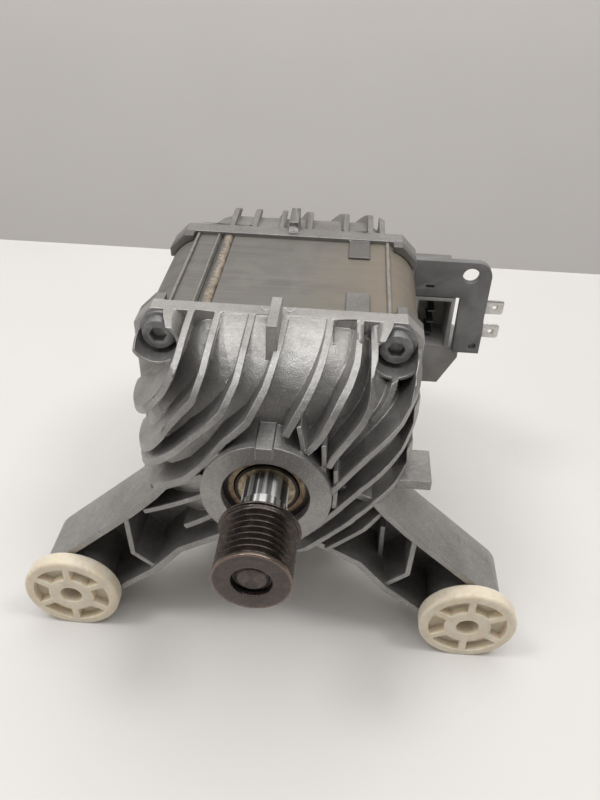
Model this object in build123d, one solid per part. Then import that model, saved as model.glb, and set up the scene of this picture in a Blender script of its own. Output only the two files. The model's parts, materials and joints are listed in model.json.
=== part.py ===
from build123d import *
import math
import os

os.makedirs("parts", exist_ok=True)

# Washing machine drive motor. All sizes are millimetres.
# The shaft runs along Y, Z is up, and the origin is on the shaft axis in the belt plane,
# the middle of the pulley's grooves. The pulley end is the front and +Y runs to the rear.

# One overrun for all cuts, and the clearances between pieces
OVERRUN = 1.0
SEAT_GAP = 0.02
LOOSE_GAP = 0.3

# Belt pulley
GROOVE_PITCH = 2.34
GROOVE_COUNT = 7
GROOVE_DEPTH = 1.6
GROOVE_FLOOR = 0.5
PULLEY_RADIUS = 12.0
PULLEY_COLLAR = 1.4
PULLEY_CHAMFER = 0.5
GUARD_RADIUS = 12.9
GUARD_WIDTH = 0.8
RECESS_RADIUS = 6.1
RECESS_DEPTH = 2.6

# Shaft
NOSE_RADIUS = 5.0
NOSE_SETBACK = 1.1
NOSE_CHAMFER = 0.8
NECK_RADIUS = 7.5
NECK_COLLAR_RADIUS = 7.9
NECK_COLLAR_LENGTH = 8.0
CORE_SEAT_RADIUS = 8.5
TAIL_RADIUS = 6.0

# Ball bearings: front is a 15 x 35 x 11 size and rear is a 12 x 32 x 10 size
FRONT_BEARING_RADIUS = 17.5
FRONT_BEARING_WIDTH = 11.0
FRONT_BALL_RADIUS = 2.95
FRONT_BALL_COUNT = 8
REAR_BEARING_RADIUS = 16.0
REAR_BEARING_WIDTH = 10.0
REAR_BALL_RADIUS = 2.95
REAR_BALL_COUNT = 7
BALL_GAP = 0.08
RACE_SHARE = 0.30
CAGE_WALL = 1.5
CAGE_EDGE = 0.6
SEAL_THICK = 0.8
SEAL_INSET = 0.4
SEAL_GAP = 0.5

# Stator stack
STACK_HALF_X = 48.2
STACK_HALF_Z = 44.4
STACK_CORNER = 14.0
STACK_LENGTH = 54.3
BORE_RADIUS = 28.0
WINDOW_RADIUS = 37.0
POLE_TIP = 3.4
POLE_TIP_ANGLE = 54.0
POLE_BODY_ANGLE = 29.0
WELD_GROOVE_X = -25.8
WELD_GROOVE_WIDTH = 5.2
WELD_GROOVE_DEPTH = 1.3
WELD_BEAD_RADIUS = 1.9

# Field coils, insulators and thermal cut-out
COIL_GAP = 0.5
COIL_OVERHANG = 10.0
COIL_END_GAP = 1.6
COIL_SIDE_ANGLE = 30.5
COIL_EDGE_ANGLE = 51.0
INSULATOR_THICK = 1.2
INSULATOR_RADIUS = 37.9
CUTOUT_LENGTH = 12.0
CUTOUT_WIDTH = 7.0
CUTOUT_HEIGHT = 4.0

# Rotor
AIR_GAP = 0.5
SLOT_COUNT = 24
SLOT_WIDTH = 3.4
SLOT_DEPTH = 9.0
SLOT_BRIDGE = 1.0
SLOT_MOUTH = 1.6
BAR_GAP = 0.15
WINDING_OUTER = 24.5
WINDING_INNER = 12.0
WINDING_FRONT = 13.0
WINDING_REAR = 12.0
WINDING_ROUND = 3.5
COMMUTATOR_RADIUS = 17.0
COMMUTATOR_LENGTH = 17.0
RISER_RADIUS = 19.0
RISER_WIDTH = 2.5
RISER_GAP = 1.0
HUB_RADIUS = 13.0
SEGMENT_GAP = 0.7

# Brush gear
BRUSH_LENGTH = 10.0
BRUSH_WIDTH = 6.3
BRUSH_HEIGHT = 8.0
BRUSH_AIR = 0.15
BRUSH_SLIDE_GAP = 0.15
TUBE_WALL = 1.0
TUBE_START_GAP = 1.6
TUBE_END = 35.4
HOLDER_START_GAP = 3.0
HOLDER_END = 34.0
HOLDER_WALL = 2.0
YOKE_INNER = 22.0
YOKE_THICK = 2.6
SPRING_WIRE = 0.35
SPRING_RADIUS = 2.4
SPRING_TURNS = 4
SPRING_END_GAP = 0.1

# End shields
BOSS_FACE = 24.5
BOSS_RADIUS = 21.4
BOSS_HOLE_RADIUS = 14.4
NOSE_INSET = 0.6
BOSS_LIP = 3.6
FRONT_DOME_DEPTH = 36.8
FRONT_FLANGE = 5.9
REAR_FLANGE = 7.0
REAR_DOME_DEPTH = 43.0
FLANGE_HALF_X = 48.2
FLANGE_HALF_Z = 46.0
FLANGE_CHAMFER = 6.0
CORNER_LIP = 4.6
CORNER_LIP_WIDTH = 9.5
CORNER_LIP_GAP = 0.1
CREST_HALF_X = 49.4
CREST_CORNER = 60.0
CREST_SETBACK = 2.0
ROOT_HALF_X = 45.6
ROOT_HALF_Z = 45.7
ROOT_CORNER = 48.8
REAR_ROOT_CORNER = 54.5
LOW_CREST_HALF = 45.7
LOW_CREST_CORNER = 54.5
ROOT_SETBACK = 11.5
REAR_CREST_HALF_Z = 48.0
REAR_ROOT_HALF_Z = 44.4
REAR_BOSS_RADIUS = 20.8
REAR_CREST_SHORT = 1.2
REAR_ROOT_SHORT = 4.2
CAVITY_RADIUS = 38.3
CAVITY_WALL = 3.2
FIN_WIDTH = 2.3
FIN_STEPS = 9
REAR_FIN_SHIFT = 3.0
WEB_WIDTH = 1.6
WEB_DROP = 2.5
RECESS_FLOOR = 42.8
RECESS_LENGTH = 11.5

# Clamp screws
SCREW_X = 38.9
SCREW_Z = 38.8
SCREW_RADIUS = 3.0
SCREW_CLEARANCE = 0.3
SCREW_END_GAP = 1.5
SCREW_HEAD_RADIUS = 5.3
SCREW_HEAD_HEIGHT = 5.0
SCREW_FLANGE_RADIUS = 6.7
SCREW_FLANGE_HEIGHT = 1.6
SOCKET_ACROSS = 5.0
SOCKET_DEPTH = 3.0
SCREW_POCKET_RADIUS = 7.3
SCREW_POCKET_REACH = 27.0
POCKET_WALL_REACH = 10.0
REAR_POCKET_RADIUS = 8.4
REAR_POCKET_REACH = 33.0
POCKET_WALL = 1.3

# Tabs, tongues and the side lug
TAB_X = -0.35
TAB_HALF_WIDTH = 1.75
TAB_TOP = 52.0
FRONT_TAB_LENGTH = 18.0
FRONT_TAB_ONTO_STACK = 1.6
REAR_TAB_LENGTH = 14.0
REAR_TAB_ONTO_STACK = 4.5
REAR_TAB_TOP = 50.5
TONGUE_X = 25.7
TONGUE_WIDTH = 8.1
TONGUE_LENGTH = 14.0
TONGUE_THICK = 0.9
BOSS_TAB_X = -0.3
BOSS_TAB_HALF_WIDTH = 2.7
BOSS_TAB_LENGTH = 14.0
BOSS_TAB_LOW = 17.0
BOSS_TAB_HIGH = 21.9
BOSS_TAB_PROUD = 1.5
LUG_X = 43.0
LUG_REACH = 12.3
LUG_SETBACK = 18.0
LUG_LENGTH = 16.5
LUG_THICK = 4.0
LUG_Z = -7.0

# Legs and their bushings
BUSHING_X = 75.2
BUSHING_Z = -62.9
LEG_SETBACK = 8.5
LEG_DEPTH = 24.5
LEG_WALL = 2.6
LEG_BACK = 3.0
LEG_END_RADIUS = 13.6
LEG_EYE_RADIUS = 13.6
LEG_OUTER_ANGLE = 47.2
LEG_INNER_ANGLE = 229.5
LEG_RIB = 2.0
LEG_RIB_DROP = 1.5
FAINT_RIB_DROP = 12.0
SHORT_RIB = 2.2
DISC_RADIUS = 18.1
DISC_THICK = 6.0
DISC_ROUND = 1.2
DISC_FLAT = 17.4
RIM_WIDTH = 3.6
HUB_OUTER = 8.6
SPOKE_WIDTH = 2.4
POCKET_DEPTH = 3.2
POCKET_COUNT = 6
POCKET_TURN = 30.0
BUSHING_BARREL = 9.4
BUSHING_BORE = 4.25

# Connector bracket, housing and terminals
PLATE_THICK = 3.2
PLATE_BEHIND = 0.4
PLATE_LEFT = 40.0
PLATE_RIGHT = 80.6
PLATE_TOP = 35.2
PLATE_CORNER = 6.5
BAR_LEFT = 69.4
BAR_BOTTOM = -6.4
ARM_BOTTOM = 19.0
BRACKET_HOLE_X = 72.2
BRACKET_HOLE_Z = 29.2
BRACKET_HOLE_RADIUS = 3.4
BAR_STEP_Z = 7.5
BAR_STEP = 2.2
TAB_HOLE_X = 77.4
TAB_HOLE_Z = -2.8
TAB_HOLE_RADIUS = 1.6
SLOT_HOLE_X = 56.2
SLOT_HOLE_Z = 23.6
SLOT_HOLE_LENGTH = 3.4
SLOT_HOLE_HEIGHT = 1.2
HOUSING_LEFT = 50.6
HOUSING_RIGHT = 67.6
HOUSING_TOP = 18.6
HOUSING_FLOOR = -6.8
HOUSING_BOTTOM = -24.6
HOUSING_LENGTH = 22.0
HOUSING_WALL = 1.8
HOUSING_POCKET = 17.0
HOUSING_FOOT_RIGHT = 72.4
HOUSING_CHAMFER = 7.0
BLADE_WIDTH = 6.3
BLADE_THICK = 0.8
BLADE_REACH = 7.4
BLADE_ROOT = 6.0
BLADE_HOLE = 0.9
BLADE_CHAMFER = 0.8
UPPER_BLADE_Z = 14.7
LOWER_BLADE_Z = 3.2
PIN_COUNT = 4
PIN_WIDTH = 2.8
PIN_THICK = 0.8
PIN_LENGTH = 11.0
HOUSING_LIP = 4.0
HOUSING_LIP_THICK = 2.0
BRACKET_SCREW_RADIUS = 1.8
BRACKET_SCREW_HEAD = 3.2
BRACKET_SCREW_HEAD_HEIGHT = 2.0
BRACKET_SCREW_TIP_GAP = 0.6

# Ear on the rear shield that carries the connector bracket
EAR_LEFT = 40.0
EAR_RIGHT = 64.0
EAR_THICK = 5.0
EAR_BOTTOM = 23.5
EAR_TOP_DROP = 1.0
EAR_SCREW_X = (52.5, 60.0)
EAR_SCREW_Z = 29.0

# Speed sensor behind the rear bearing
MAGNET_RADIUS = 8.5
MAGNET_LENGTH = 6.0
SENSOR_GAP = 0.9
SENSOR_WALL = 3.0
SENSOR_CAP_RADIUS = 14.5
SENSOR_CAP_WALL = 1.4
CAP_SPACE = 1.0
WASHER_THICK = 0.6
WASHER_WIDTH = 4.0

# Places along the shaft that follow from the sizes above
BAND_HALF = GROOVE_PITCH * GROOVE_COUNT / 2
PULLEY_FRONT = -BAND_HALF - PULLEY_COLLAR
PULLEY_REAR = BAND_HALF + PULLEY_COLLAR + GUARD_WIDTH
NOSE_FRONT = PULLEY_FRONT + NOSE_SETBACK
FRONT_BEARING_Y = BOSS_FACE + BOSS_LIP
FRONT_BEARING_END = FRONT_BEARING_Y + FRONT_BEARING_WIDTH
FLANGE_FRONT = BOSS_FACE + FRONT_DOME_DEPTH
STACK_FRONT = FLANGE_FRONT + FRONT_FLANGE
STACK_REAR = STACK_FRONT + STACK_LENGTH
REAR_FLANGE_END = STACK_REAR + REAR_FLANGE
REAR_END = REAR_FLANGE_END + REAR_DOME_DEPTH
REAR_BEARING_Y = REAR_END - CAVITY_WALL - REAR_BEARING_WIDTH
REAR_BEARING_END = REAR_BEARING_Y + REAR_BEARING_WIDTH
COMMUTATOR_Y = STACK_REAR + WINDING_REAR + RISER_GAP
COMMUTATOR_END = COMMUTATOR_Y + RISER_WIDTH + COMMUTATOR_LENGTH
BRUSH_Y = COMMUTATOR_Y + RISER_WIDTH + COMMUTATOR_LENGTH / 2
MAGNET_Y = REAR_END + CAP_SPACE
MAGNET_END = MAGNET_Y + MAGNET_LENGTH
CAP_END = MAGNET_END + CAP_SPACE + SENSOR_CAP_WALL
LEG_FRONT = BOSS_FACE + LEG_SETBACK
LEG_REAR = LEG_FRONT + LEG_DEPTH
DISC_FRONT = LEG_FRONT - DISC_THICK
PLATE_FRONT = REAR_FLANGE_END + PLATE_BEHIND
ROTOR_RADIUS = BORE_RADIUS - AIR_GAP
CREST_HALF_Z = FLANGE_HALF_Z

# Fin lines seen from the front, as shares of the fin crests' half width and half height
FIN_SHARES = {
    "first": [(-0.573, 1.0), (-0.607, 0.83), (-0.76, 0.57), (-1.0, 0.33)],
    "second": [(-0.393, 1.0), (-0.418, 0.86), (-0.44, 0.75), (-0.55, 0.59), (-0.78, 0.22), (-1.0, -0.07)],
    "third": [(-0.168, 1.0), (-0.194, 0.863), (-0.263, 0.674), (-0.435, 0.472), (-0.632, 0.243),
              (-1.0, -0.215)],
    "fourth": [(0.053, 1.0), (0.042, 0.924), (-0.018, 0.8), (-0.065, 0.674), (-0.204, 0.513),
               (-0.449, 0.157), (-0.749, -0.137), (-0.97, -0.4)],
    "fifth": [(0.348, 1.0), (0.296, 0.87), (0.211, 0.707), (0.119, 0.52)],
    "sixth": [(0.543, 1.0), (0.524, 0.891), (0.447, 0.75), (0.342, 0.522), (0.253, 0.39)],
    "seventh": [(0.638, 0.96), (0.644, 0.826), (0.64, 0.717), (0.547, 0.533), (0.395, 0.272)],
    "ninth": [(0.925, 0.87), (0.927, 0.652), (0.85, 0.5), (0.709, 0.396), (0.543, 0.217), (0.41, 0.02)],
    "tenth": [(0.95, 0.54), (0.917, 0.283), (0.836, 0.196), (0.692, 0.104), (0.46, -0.152),
              (0.217, -0.457)],
    "eleventh": [(0.94, 0.17), (0.911, -0.043), (0.733, -0.13), (0.543, -0.287), (0.217, -0.661)],
    "twelfth": [(0.83, -0.267), (0.607, -0.435), (0.419, -0.609)],
}
LOW_FIN_SHARES = [(0.796, 0.74), (0.784, 0.652), (0.757, 0.587), (0.715, 0.525), (0.655, 0.462)]
REAR_FINS = ["first", "second", "third", "fourth", "fifth", "sixth", "seventh", "ninth"]
UNDER_FINS = ["fifth"]
SHORT_RIB_SHARES = [
    [(-0.905, -0.476), (-0.70, -0.385), (-0.44, -0.24)],
    [(-0.615, -0.611), (-0.50, -0.535), (-0.36, -0.42)],
]
WEB_SHARES = [
    [(0.20, 0.60), (0.222, 0.50), (0.235, 0.38)],
    [(0.36, 0.46), (0.366, 0.36), (0.368, 0.22)],
    [(0.445, 0.24), (0.452, 0.08), (0.45, -0.12)],
]

# Recesses beside the flange, from one side to the other, as shares of the fin crests' half width
RECESS_SHARES = [(-0.545, -0.425), (0.375, 0.505)]

# Leg outline and ribs, as shares of the bushing's X and Z
LEG_TOP_SHARES = [(0.30, 0.0), (0.485, 0.10), (0.545, 0.19), (0.655, 0.33)]
LEG_LOW_SHARES = [(0.765, 1.04), (0.56, 0.835), (0.425, 0.64), (0.176, 0.46), (0.05, 0.42)]
LEG_RIB_SHARES = [(0.688, 0.395), (0.68, 0.709), (0.561, 0.838)]
FAINT_RIB_SHARES = [(0.545, 0.50), (0.552, 0.822)]


def rod(radius, y_from, y_to, x=0, z=0):
    """Cylinder along the shaft direction."""
    return Pos(x, (y_from + y_to) / 2, z) * Rot(90, 0, 0) * Cylinder(radius, y_to - y_from)


def ring(outer, inner, y_from, y_to, x=0, z=0):
    """Tube along the shaft direction."""
    hole = rod(inner, y_from - OVERRUN, y_to + OVERRUN, x, z)
    return rod(outer, y_from, y_to, x, z) - hole


def block(x_from, x_to, y_from, y_to, z_from, z_to):
    """Box between two corners."""
    middle = Pos((x_from + x_to) / 2, (y_from + y_to) / 2, (z_from + z_to) / 2)
    return middle * Box(x_to - x_from, y_to - y_from, z_to - z_from)


def turned(*points):
    """Solid of revolution about the shaft from (radius, y) points."""
    return revolve(make_face(Polyline(*points, close=True)), Axis.Y)


def across(outline, y_from, y_to):
    """Sweep an outline drawn in X and Z from one y to another."""
    return extrude(Pos(0, y_from, 0) * (Plane.XZ * outline), amount=y_to - y_from, dir=(0, 1, 0))


def rounded(half_x, half_z, corner):
    """Rectangle outline with round corners."""
    return RectangleRounded(2 * half_x, 2 * half_z, corner)


def chamfered(half_x, half_z, cut):
    """Rectangle outline with its corners cut at an even slope."""
    quarter = [(half_x, half_z - cut), (half_x - cut, half_z)]
    upper = quarter + [(-x, z) for x, z in reversed(quarter)]
    return make_face(Polyline(*upper, *[(-x, -z) for x, z in upper], close=True))


def sector(outer, inner, middle_angle, half_angle):
    """Part of a flat ring about the shaft, between two angles."""
    spread = [math.radians(middle_angle + half_angle * step) for step in (-1, 0, 1)]
    outer_arc = [(outer * math.cos(turn), outer * math.sin(turn)) for turn in spread]
    inner_arc = [(inner * math.cos(turn), inner * math.sin(turn)) for turn in spread]
    return make_face([
        ThreePointArc(*outer_arc),
        Line(outer_arc[-1], inner_arc[-1]),
        ThreePointArc(*reversed(inner_arc)),
        Line(inner_arc[0], outer_arc[0]),
    ])


def scaled(shares, half_x, half_z, turn=1, shift=0):
    """Points from shares of two sizes, turned half round when turn is -1."""
    return [(turn * share_x * half_x + shift, turn * share_z * half_z) for share_x, share_z in shares]


def strip(points, width):
    """Flat strip of even width along a smooth line through the points."""
    middle = Spline(*points)
    left = []
    right = []
    for step in range(FIN_STEPS):
        spot = middle @ (step / (FIN_STEPS - 1))
        along = middle % (step / (FIN_STEPS - 1))
        aside = Vector(-along.Y, along.X) * (width / 2)
        left.append(spot + aside)
        right.append(spot - aside)
    right.reverse()
    return make_face(Polyline(*left, *right, close=True))


def wall_along(points, width, y_from, y_to):
    """Upright wall of even width along straight runs, round where they meet."""
    wall = Part()
    for start, end in zip(points, points[1:]):
        length = math.hypot(end[0] - start[0], end[1] - start[1])
        aside_x = (start[1] - end[1]) / length * width / 2
        aside_z = (end[0] - start[0]) / length * width / 2
        run = Polyline((start[0] + aside_x, start[1] + aside_z), (end[0] + aside_x, end[1] + aside_z),
                       (end[0] - aside_x, end[1] - aside_z), (start[0] - aside_x, start[1] - aside_z), close=True)
        wall += across(make_face(run), y_from, y_to)
    for x, z in points[1:-1]:
        wall += rod(width / 2, y_from, y_to, x, z)
    return wall


def dome(half_x, half_z, corner, nose, y_wide, y_nose):
    """Rounded cup that narrows from a rounded square at y_wide to a circle at y_nose."""
    depth = abs(y_nose - y_wide)
    toward = 90 if y_nose > y_wide else -90
    start = 0 if y_nose > y_wide else 180

    def side_face(half):
        upper = EllipticalCenterArc((y_wide, nose), depth, half - nose, 90, arc_size=start - 90)
        lower = EllipticalCenterArc((y_wide, -nose), depth, half - nose, 270, arc_size=90 - start)
        return make_face([
            upper,
            Line((y_nose, nose), (y_nose, -nose)),
            lower,
            Line((y_wide, -half), (y_wide, half)),
        ])

    from_side = extrude(Plane.YZ * side_face(half_z), amount=half_x + OVERRUN, both=True)
    plan = Plane((0, 0, 0), x_dir=(0, 1, 0), z_dir=(0, 0, -1))
    from_top = extrude(plan * side_face(half_x), amount=half_z + OVERRUN, both=True)
    corner_arc = EllipticalCenterArc((nose, y_wide), corner - nose, depth, 0, arc_size=toward)
    turned_face = make_face([
        corner_arc,
        Line((nose, y_nose), (0, y_nose)),
        Line((0, y_nose), (0, y_wide)),
        Line((0, y_wide), (corner, y_wide)),
    ])
    return from_side & from_top & revolve(turned_face, Axis.Y)


def cavity(y_open, y_wide, y_nose, nose):
    """Round hollow inside a shield, open toward the stack."""
    depth = abs(y_nose - y_wide)
    toward = 90 if y_nose > y_wide else -90
    arc = EllipticalCenterArc((nose, y_wide), CAVITY_RADIUS - nose, depth, 0, arc_size=toward)
    face = make_face([
        arc,
        Line((nose, y_nose), (0, y_nose)),
        Line((0, y_nose), (0, y_open)),
        Line((0, y_open), (CAVITY_RADIUS, y_open)),
        Line((CAVITY_RADIUS, y_open), (CAVITY_RADIUS, y_wide)),
    ])
    return revolve(face, Axis.Y)


def corners(side):
    """Centres of the upper clamp screws, or of the lower ones when side is -1."""
    return [(-SCREW_X, side * SCREW_Z), (SCREW_X, side * SCREW_Z)]


def corner_lips(y_from, y_to):
    """Lips that hold the stack's round corners."""
    shell = across(chamfered(FLANGE_HALF_X, FLANGE_HALF_Z, FLANGE_CHAMFER), y_from, y_to)
    gap = CORNER_LIP_GAP
    core = rounded(STACK_HALF_X + gap, STACK_HALF_Z + gap, STACK_CORNER)
    shell -= across(core, y_from - OVERRUN, y_to + OVERRUN)
    keep = Part()
    for x_side in (-1, 1):
        for z_side in (-1, 1):
            x_edges = sorted((x_side * (FLANGE_HALF_X - CORNER_LIP_WIDTH), x_side * FLANGE_HALF_X))
            z_edges = sorted((z_side * (FLANGE_HALF_Z - CORNER_LIP_WIDTH), z_side * FLANGE_HALF_Z))
            keep += block(*x_edges, y_from, y_to, *z_edges)
    return shell & keep


def fins(names, crest, y_from, y_to, half_z, turn=1, shift=0):
    """Cooling fins cut to the crest shape."""
    made = []
    for name in names:
        line = scaled(FIN_SHARES[name], CREST_HALF_X, half_z, turn, shift)
        made.append(across(strip(line, FIN_WIDTH), y_from, y_to) & crest)
    return made


def inset(points, amount):
    """Corner points of a polygon moved inward by an even amount."""
    count = len(points)
    pairs = [(points[number], points[(number + 1) % count]) for number in range(count)]
    turning = sum(start[0] * end[1] - end[0] * start[1] for start, end in pairs)
    inward = 1 if turning > 0 else -1
    normals = []
    for start, end in pairs:
        length = math.hypot(end[0] - start[0], end[1] - start[1])
        normals.append((-inward * (end[1] - start[1]) / length, inward * (end[0] - start[0]) / length))
    moved = []
    for number in range(count):
        before = normals[number - 1]
        after = normals[number]
        reach = amount / (1 + before[0] * after[0] + before[1] * after[1])
        moved.append((points[number][0] + (before[0] + after[0]) * reach,
                      points[number][1] + (before[1] + after[1]) * reach))
    return moved


def leg_points(side):
    """Corner points of one leg, from the body to the middle of the bushing."""
    top = scaled(LEG_TOP_SHARES, side * BUSHING_X, BUSHING_Z)
    low = scaled(LEG_LOW_SHARES, side * BUSHING_X, BUSHING_Z)
    spots = []
    for angle in (LEG_OUTER_ANGLE, LEG_INNER_ANGLE):
        turn = math.radians(angle)
        spots.append((side * (BUSHING_X + LEG_END_RADIUS * math.cos(turn)),
                      BUSHING_Z + LEG_END_RADIUS * math.sin(turn)))
    return top + spots + low


def leg(side):
    """Hollow open-fronted leg with an eye for the bushing."""
    points = leg_points(side)
    eye_x = side * BUSHING_X
    shell = across(make_face(Polyline(*points, close=True)), LEG_FRONT, LEG_REAR)
    shell += rod(LEG_END_RADIUS, LEG_FRONT, LEG_REAR, eye_x, BUSHING_Z)
    hollow = across(make_face(Polyline(*inset(points, LEG_WALL), close=True)), LEG_FRONT - OVERRUN,
                    LEG_REAR - LEG_BACK)
    rib_solid = wall_along(scaled(LEG_RIB_SHARES, eye_x, BUSHING_Z), LEG_RIB, LEG_FRONT + LEG_RIB_DROP, LEG_REAR)
    eye = rod(LEG_EYE_RADIUS, LEG_FRONT, LEG_REAR, eye_x, BUSHING_Z)
    return shell - hollow + rib_solid + eye


def front_shield():
    """Die-cast pulley end shield with fins, boss and legs."""
    nose = BOSS_RADIUS - NOSE_INSET
    crest = dome(CREST_HALF_X, CREST_HALF_Z, CREST_CORNER, nose, FLANGE_FRONT, BOSS_FACE + CREST_SETBACK)
    root = dome(ROOT_HALF_X, ROOT_HALF_Z, ROOT_CORNER, nose, FLANGE_FRONT, BOSS_FACE + ROOT_SETBACK)
    flange = across(chamfered(FLANGE_HALF_X, FLANGE_HALF_Z, FLANGE_CHAMFER), FLANGE_FRONT, STACK_FRONT)
    boss = rod(BOSS_RADIUS, BOSS_FACE, FRONT_BEARING_END + CAVITY_WALL)
    shield = root + flange + boss
    shield += leg(1)
    shield += leg(-1)
    faint = strip(scaled(FAINT_RIB_SHARES, BUSHING_X, BUSHING_Z), LEG_RIB)
    shield += across(faint, LEG_FRONT + FAINT_RIB_DROP, LEG_REAR)
    for shares in SHORT_RIB_SHARES:
        line = scaled(shares, CREST_HALF_X, CREST_HALF_Z)
        shield += across(strip(line, SHORT_RIB), LEG_FRONT + LEG_RIB_DROP, FLANGE_FRONT)
    shield += fins(FIN_SHARES, crest, BOSS_FACE, FLANGE_FRONT, CREST_HALF_Z)
    shield += fins(UNDER_FINS, crest, BOSS_FACE, FLANGE_FRONT, CREST_HALF_Z, turn=-1)
    low_crest = dome(LOW_CREST_HALF, LOW_CREST_HALF, LOW_CREST_CORNER, nose, FLANGE_FRONT,
                     BOSS_FACE + ROOT_SETBACK)
    low_line = scaled(LOW_FIN_SHARES, CREST_HALF_X, CREST_HALF_Z)
    shield += across(strip(low_line, FIN_WIDTH), BOSS_FACE, FLANGE_FRONT) & low_crest
    for shares in WEB_SHARES:
        line = scaled(shares, CREST_HALF_X, CREST_HALF_Z)
        shield += across(strip(line, WEB_WIDTH), BOSS_FACE + WEB_DROP, FLANGE_FRONT - CAVITY_WALL) & crest
    for left_share, right_share in RECESS_SHARES:
        shield -= block(left_share * CREST_HALF_X, right_share * CREST_HALF_X, FLANGE_FRONT - RECESS_LENGTH,
                        FLANGE_FRONT, RECESS_FLOOR, CREST_HALF_Z + OVERRUN)
    shield += block(BOSS_TAB_X - BOSS_TAB_HALF_WIDTH, BOSS_TAB_X + BOSS_TAB_HALF_WIDTH,
                    BOSS_FACE - BOSS_TAB_PROUD, BOSS_FACE + BOSS_TAB_LENGTH, BOSS_TAB_LOW, BOSS_TAB_HIGH)
    lug_y = BOSS_FACE + LUG_SETBACK
    shield += block(LUG_X, LUG_X + LUG_REACH, lug_y, lug_y + LUG_LENGTH, LUG_Z - LUG_THICK / 2,
                    LUG_Z + LUG_THICK / 2)
    tab_end = FLANGE_FRONT + FRONT_TAB_ONTO_STACK
    shield += block(TAB_X - TAB_HALF_WIDTH, TAB_X + TAB_HALF_WIDTH, tab_end - FRONT_TAB_LENGTH, tab_end,
                    CAVITY_RADIUS, TAB_TOP)
    shield += block(TONGUE_X - TONGUE_WIDTH / 2, TONGUE_X + TONGUE_WIDTH / 2, FLANGE_FRONT,
                    STACK_FRONT + TONGUE_LENGTH, STACK_HALF_Z, STACK_HALF_Z + TONGUE_THICK)
    shield += corner_lips(STACK_FRONT, STACK_FRONT + CORNER_LIP)
    pocket_front = FLANGE_FRONT - SCREW_POCKET_REACH
    for x, z in corners(1):
        wall_front = FLANGE_FRONT - POCKET_WALL_REACH
        shield += rod(SCREW_POCKET_RADIUS + POCKET_WALL, wall_front, FLANGE_FRONT, x, z) & crest
        shield -= rod(SCREW_POCKET_RADIUS, pocket_front, FLANGE_FRONT, x, z)
        shield -= rod(SCREW_RADIUS + SCREW_CLEARANCE, BOSS_FACE, STACK_FRONT + OVERRUN, x, z)
    for x, z in corners(-1):
        shield -= rod(SCREW_RADIUS + SEAT_GAP, FLANGE_FRONT + SCREW_END_GAP / 2, STACK_FRONT + OVERRUN, x, z)
    shield -= cavity(STACK_FRONT + OVERRUN, FRONT_BEARING_END + 3 * CAVITY_WALL, FRONT_BEARING_END,
                     FRONT_BEARING_RADIUS - CAVITY_WALL)
    shield += ring(BOSS_RADIUS, FRONT_BEARING_RADIUS + SEAT_GAP, FRONT_BEARING_Y, FRONT_BEARING_END + CAVITY_WALL)
    shield -= rod(FRONT_BEARING_RADIUS + SEAT_GAP, FRONT_BEARING_Y, FRONT_BEARING_END + OVERRUN)
    shield -= rod(BOSS_HOLE_RADIUS, BOSS_FACE - OVERRUN, FRONT_BEARING_END)
    for side in (-1, 1):
        shield -= rod(BUSHING_BARREL + SEAT_GAP, DISC_FRONT, LEG_REAR + OVERRUN, side * BUSHING_X, BUSHING_Z)
    return shield


def bracket_ear():
    """Ear behind the connector bracket, drilled for its screws."""
    front = PLATE_FRONT + PLATE_THICK
    ear = block(EAR_LEFT, EAR_RIGHT, front, front + EAR_THICK, EAR_BOTTOM, PLATE_TOP - EAR_TOP_DROP)
    for x in EAR_SCREW_X:
        ear -= rod(BRACKET_SCREW_RADIUS + SEAT_GAP, front - OVERRUN, front + EAR_THICK + OVERRUN, x, EAR_SCREW_Z)
    return ear


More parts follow.
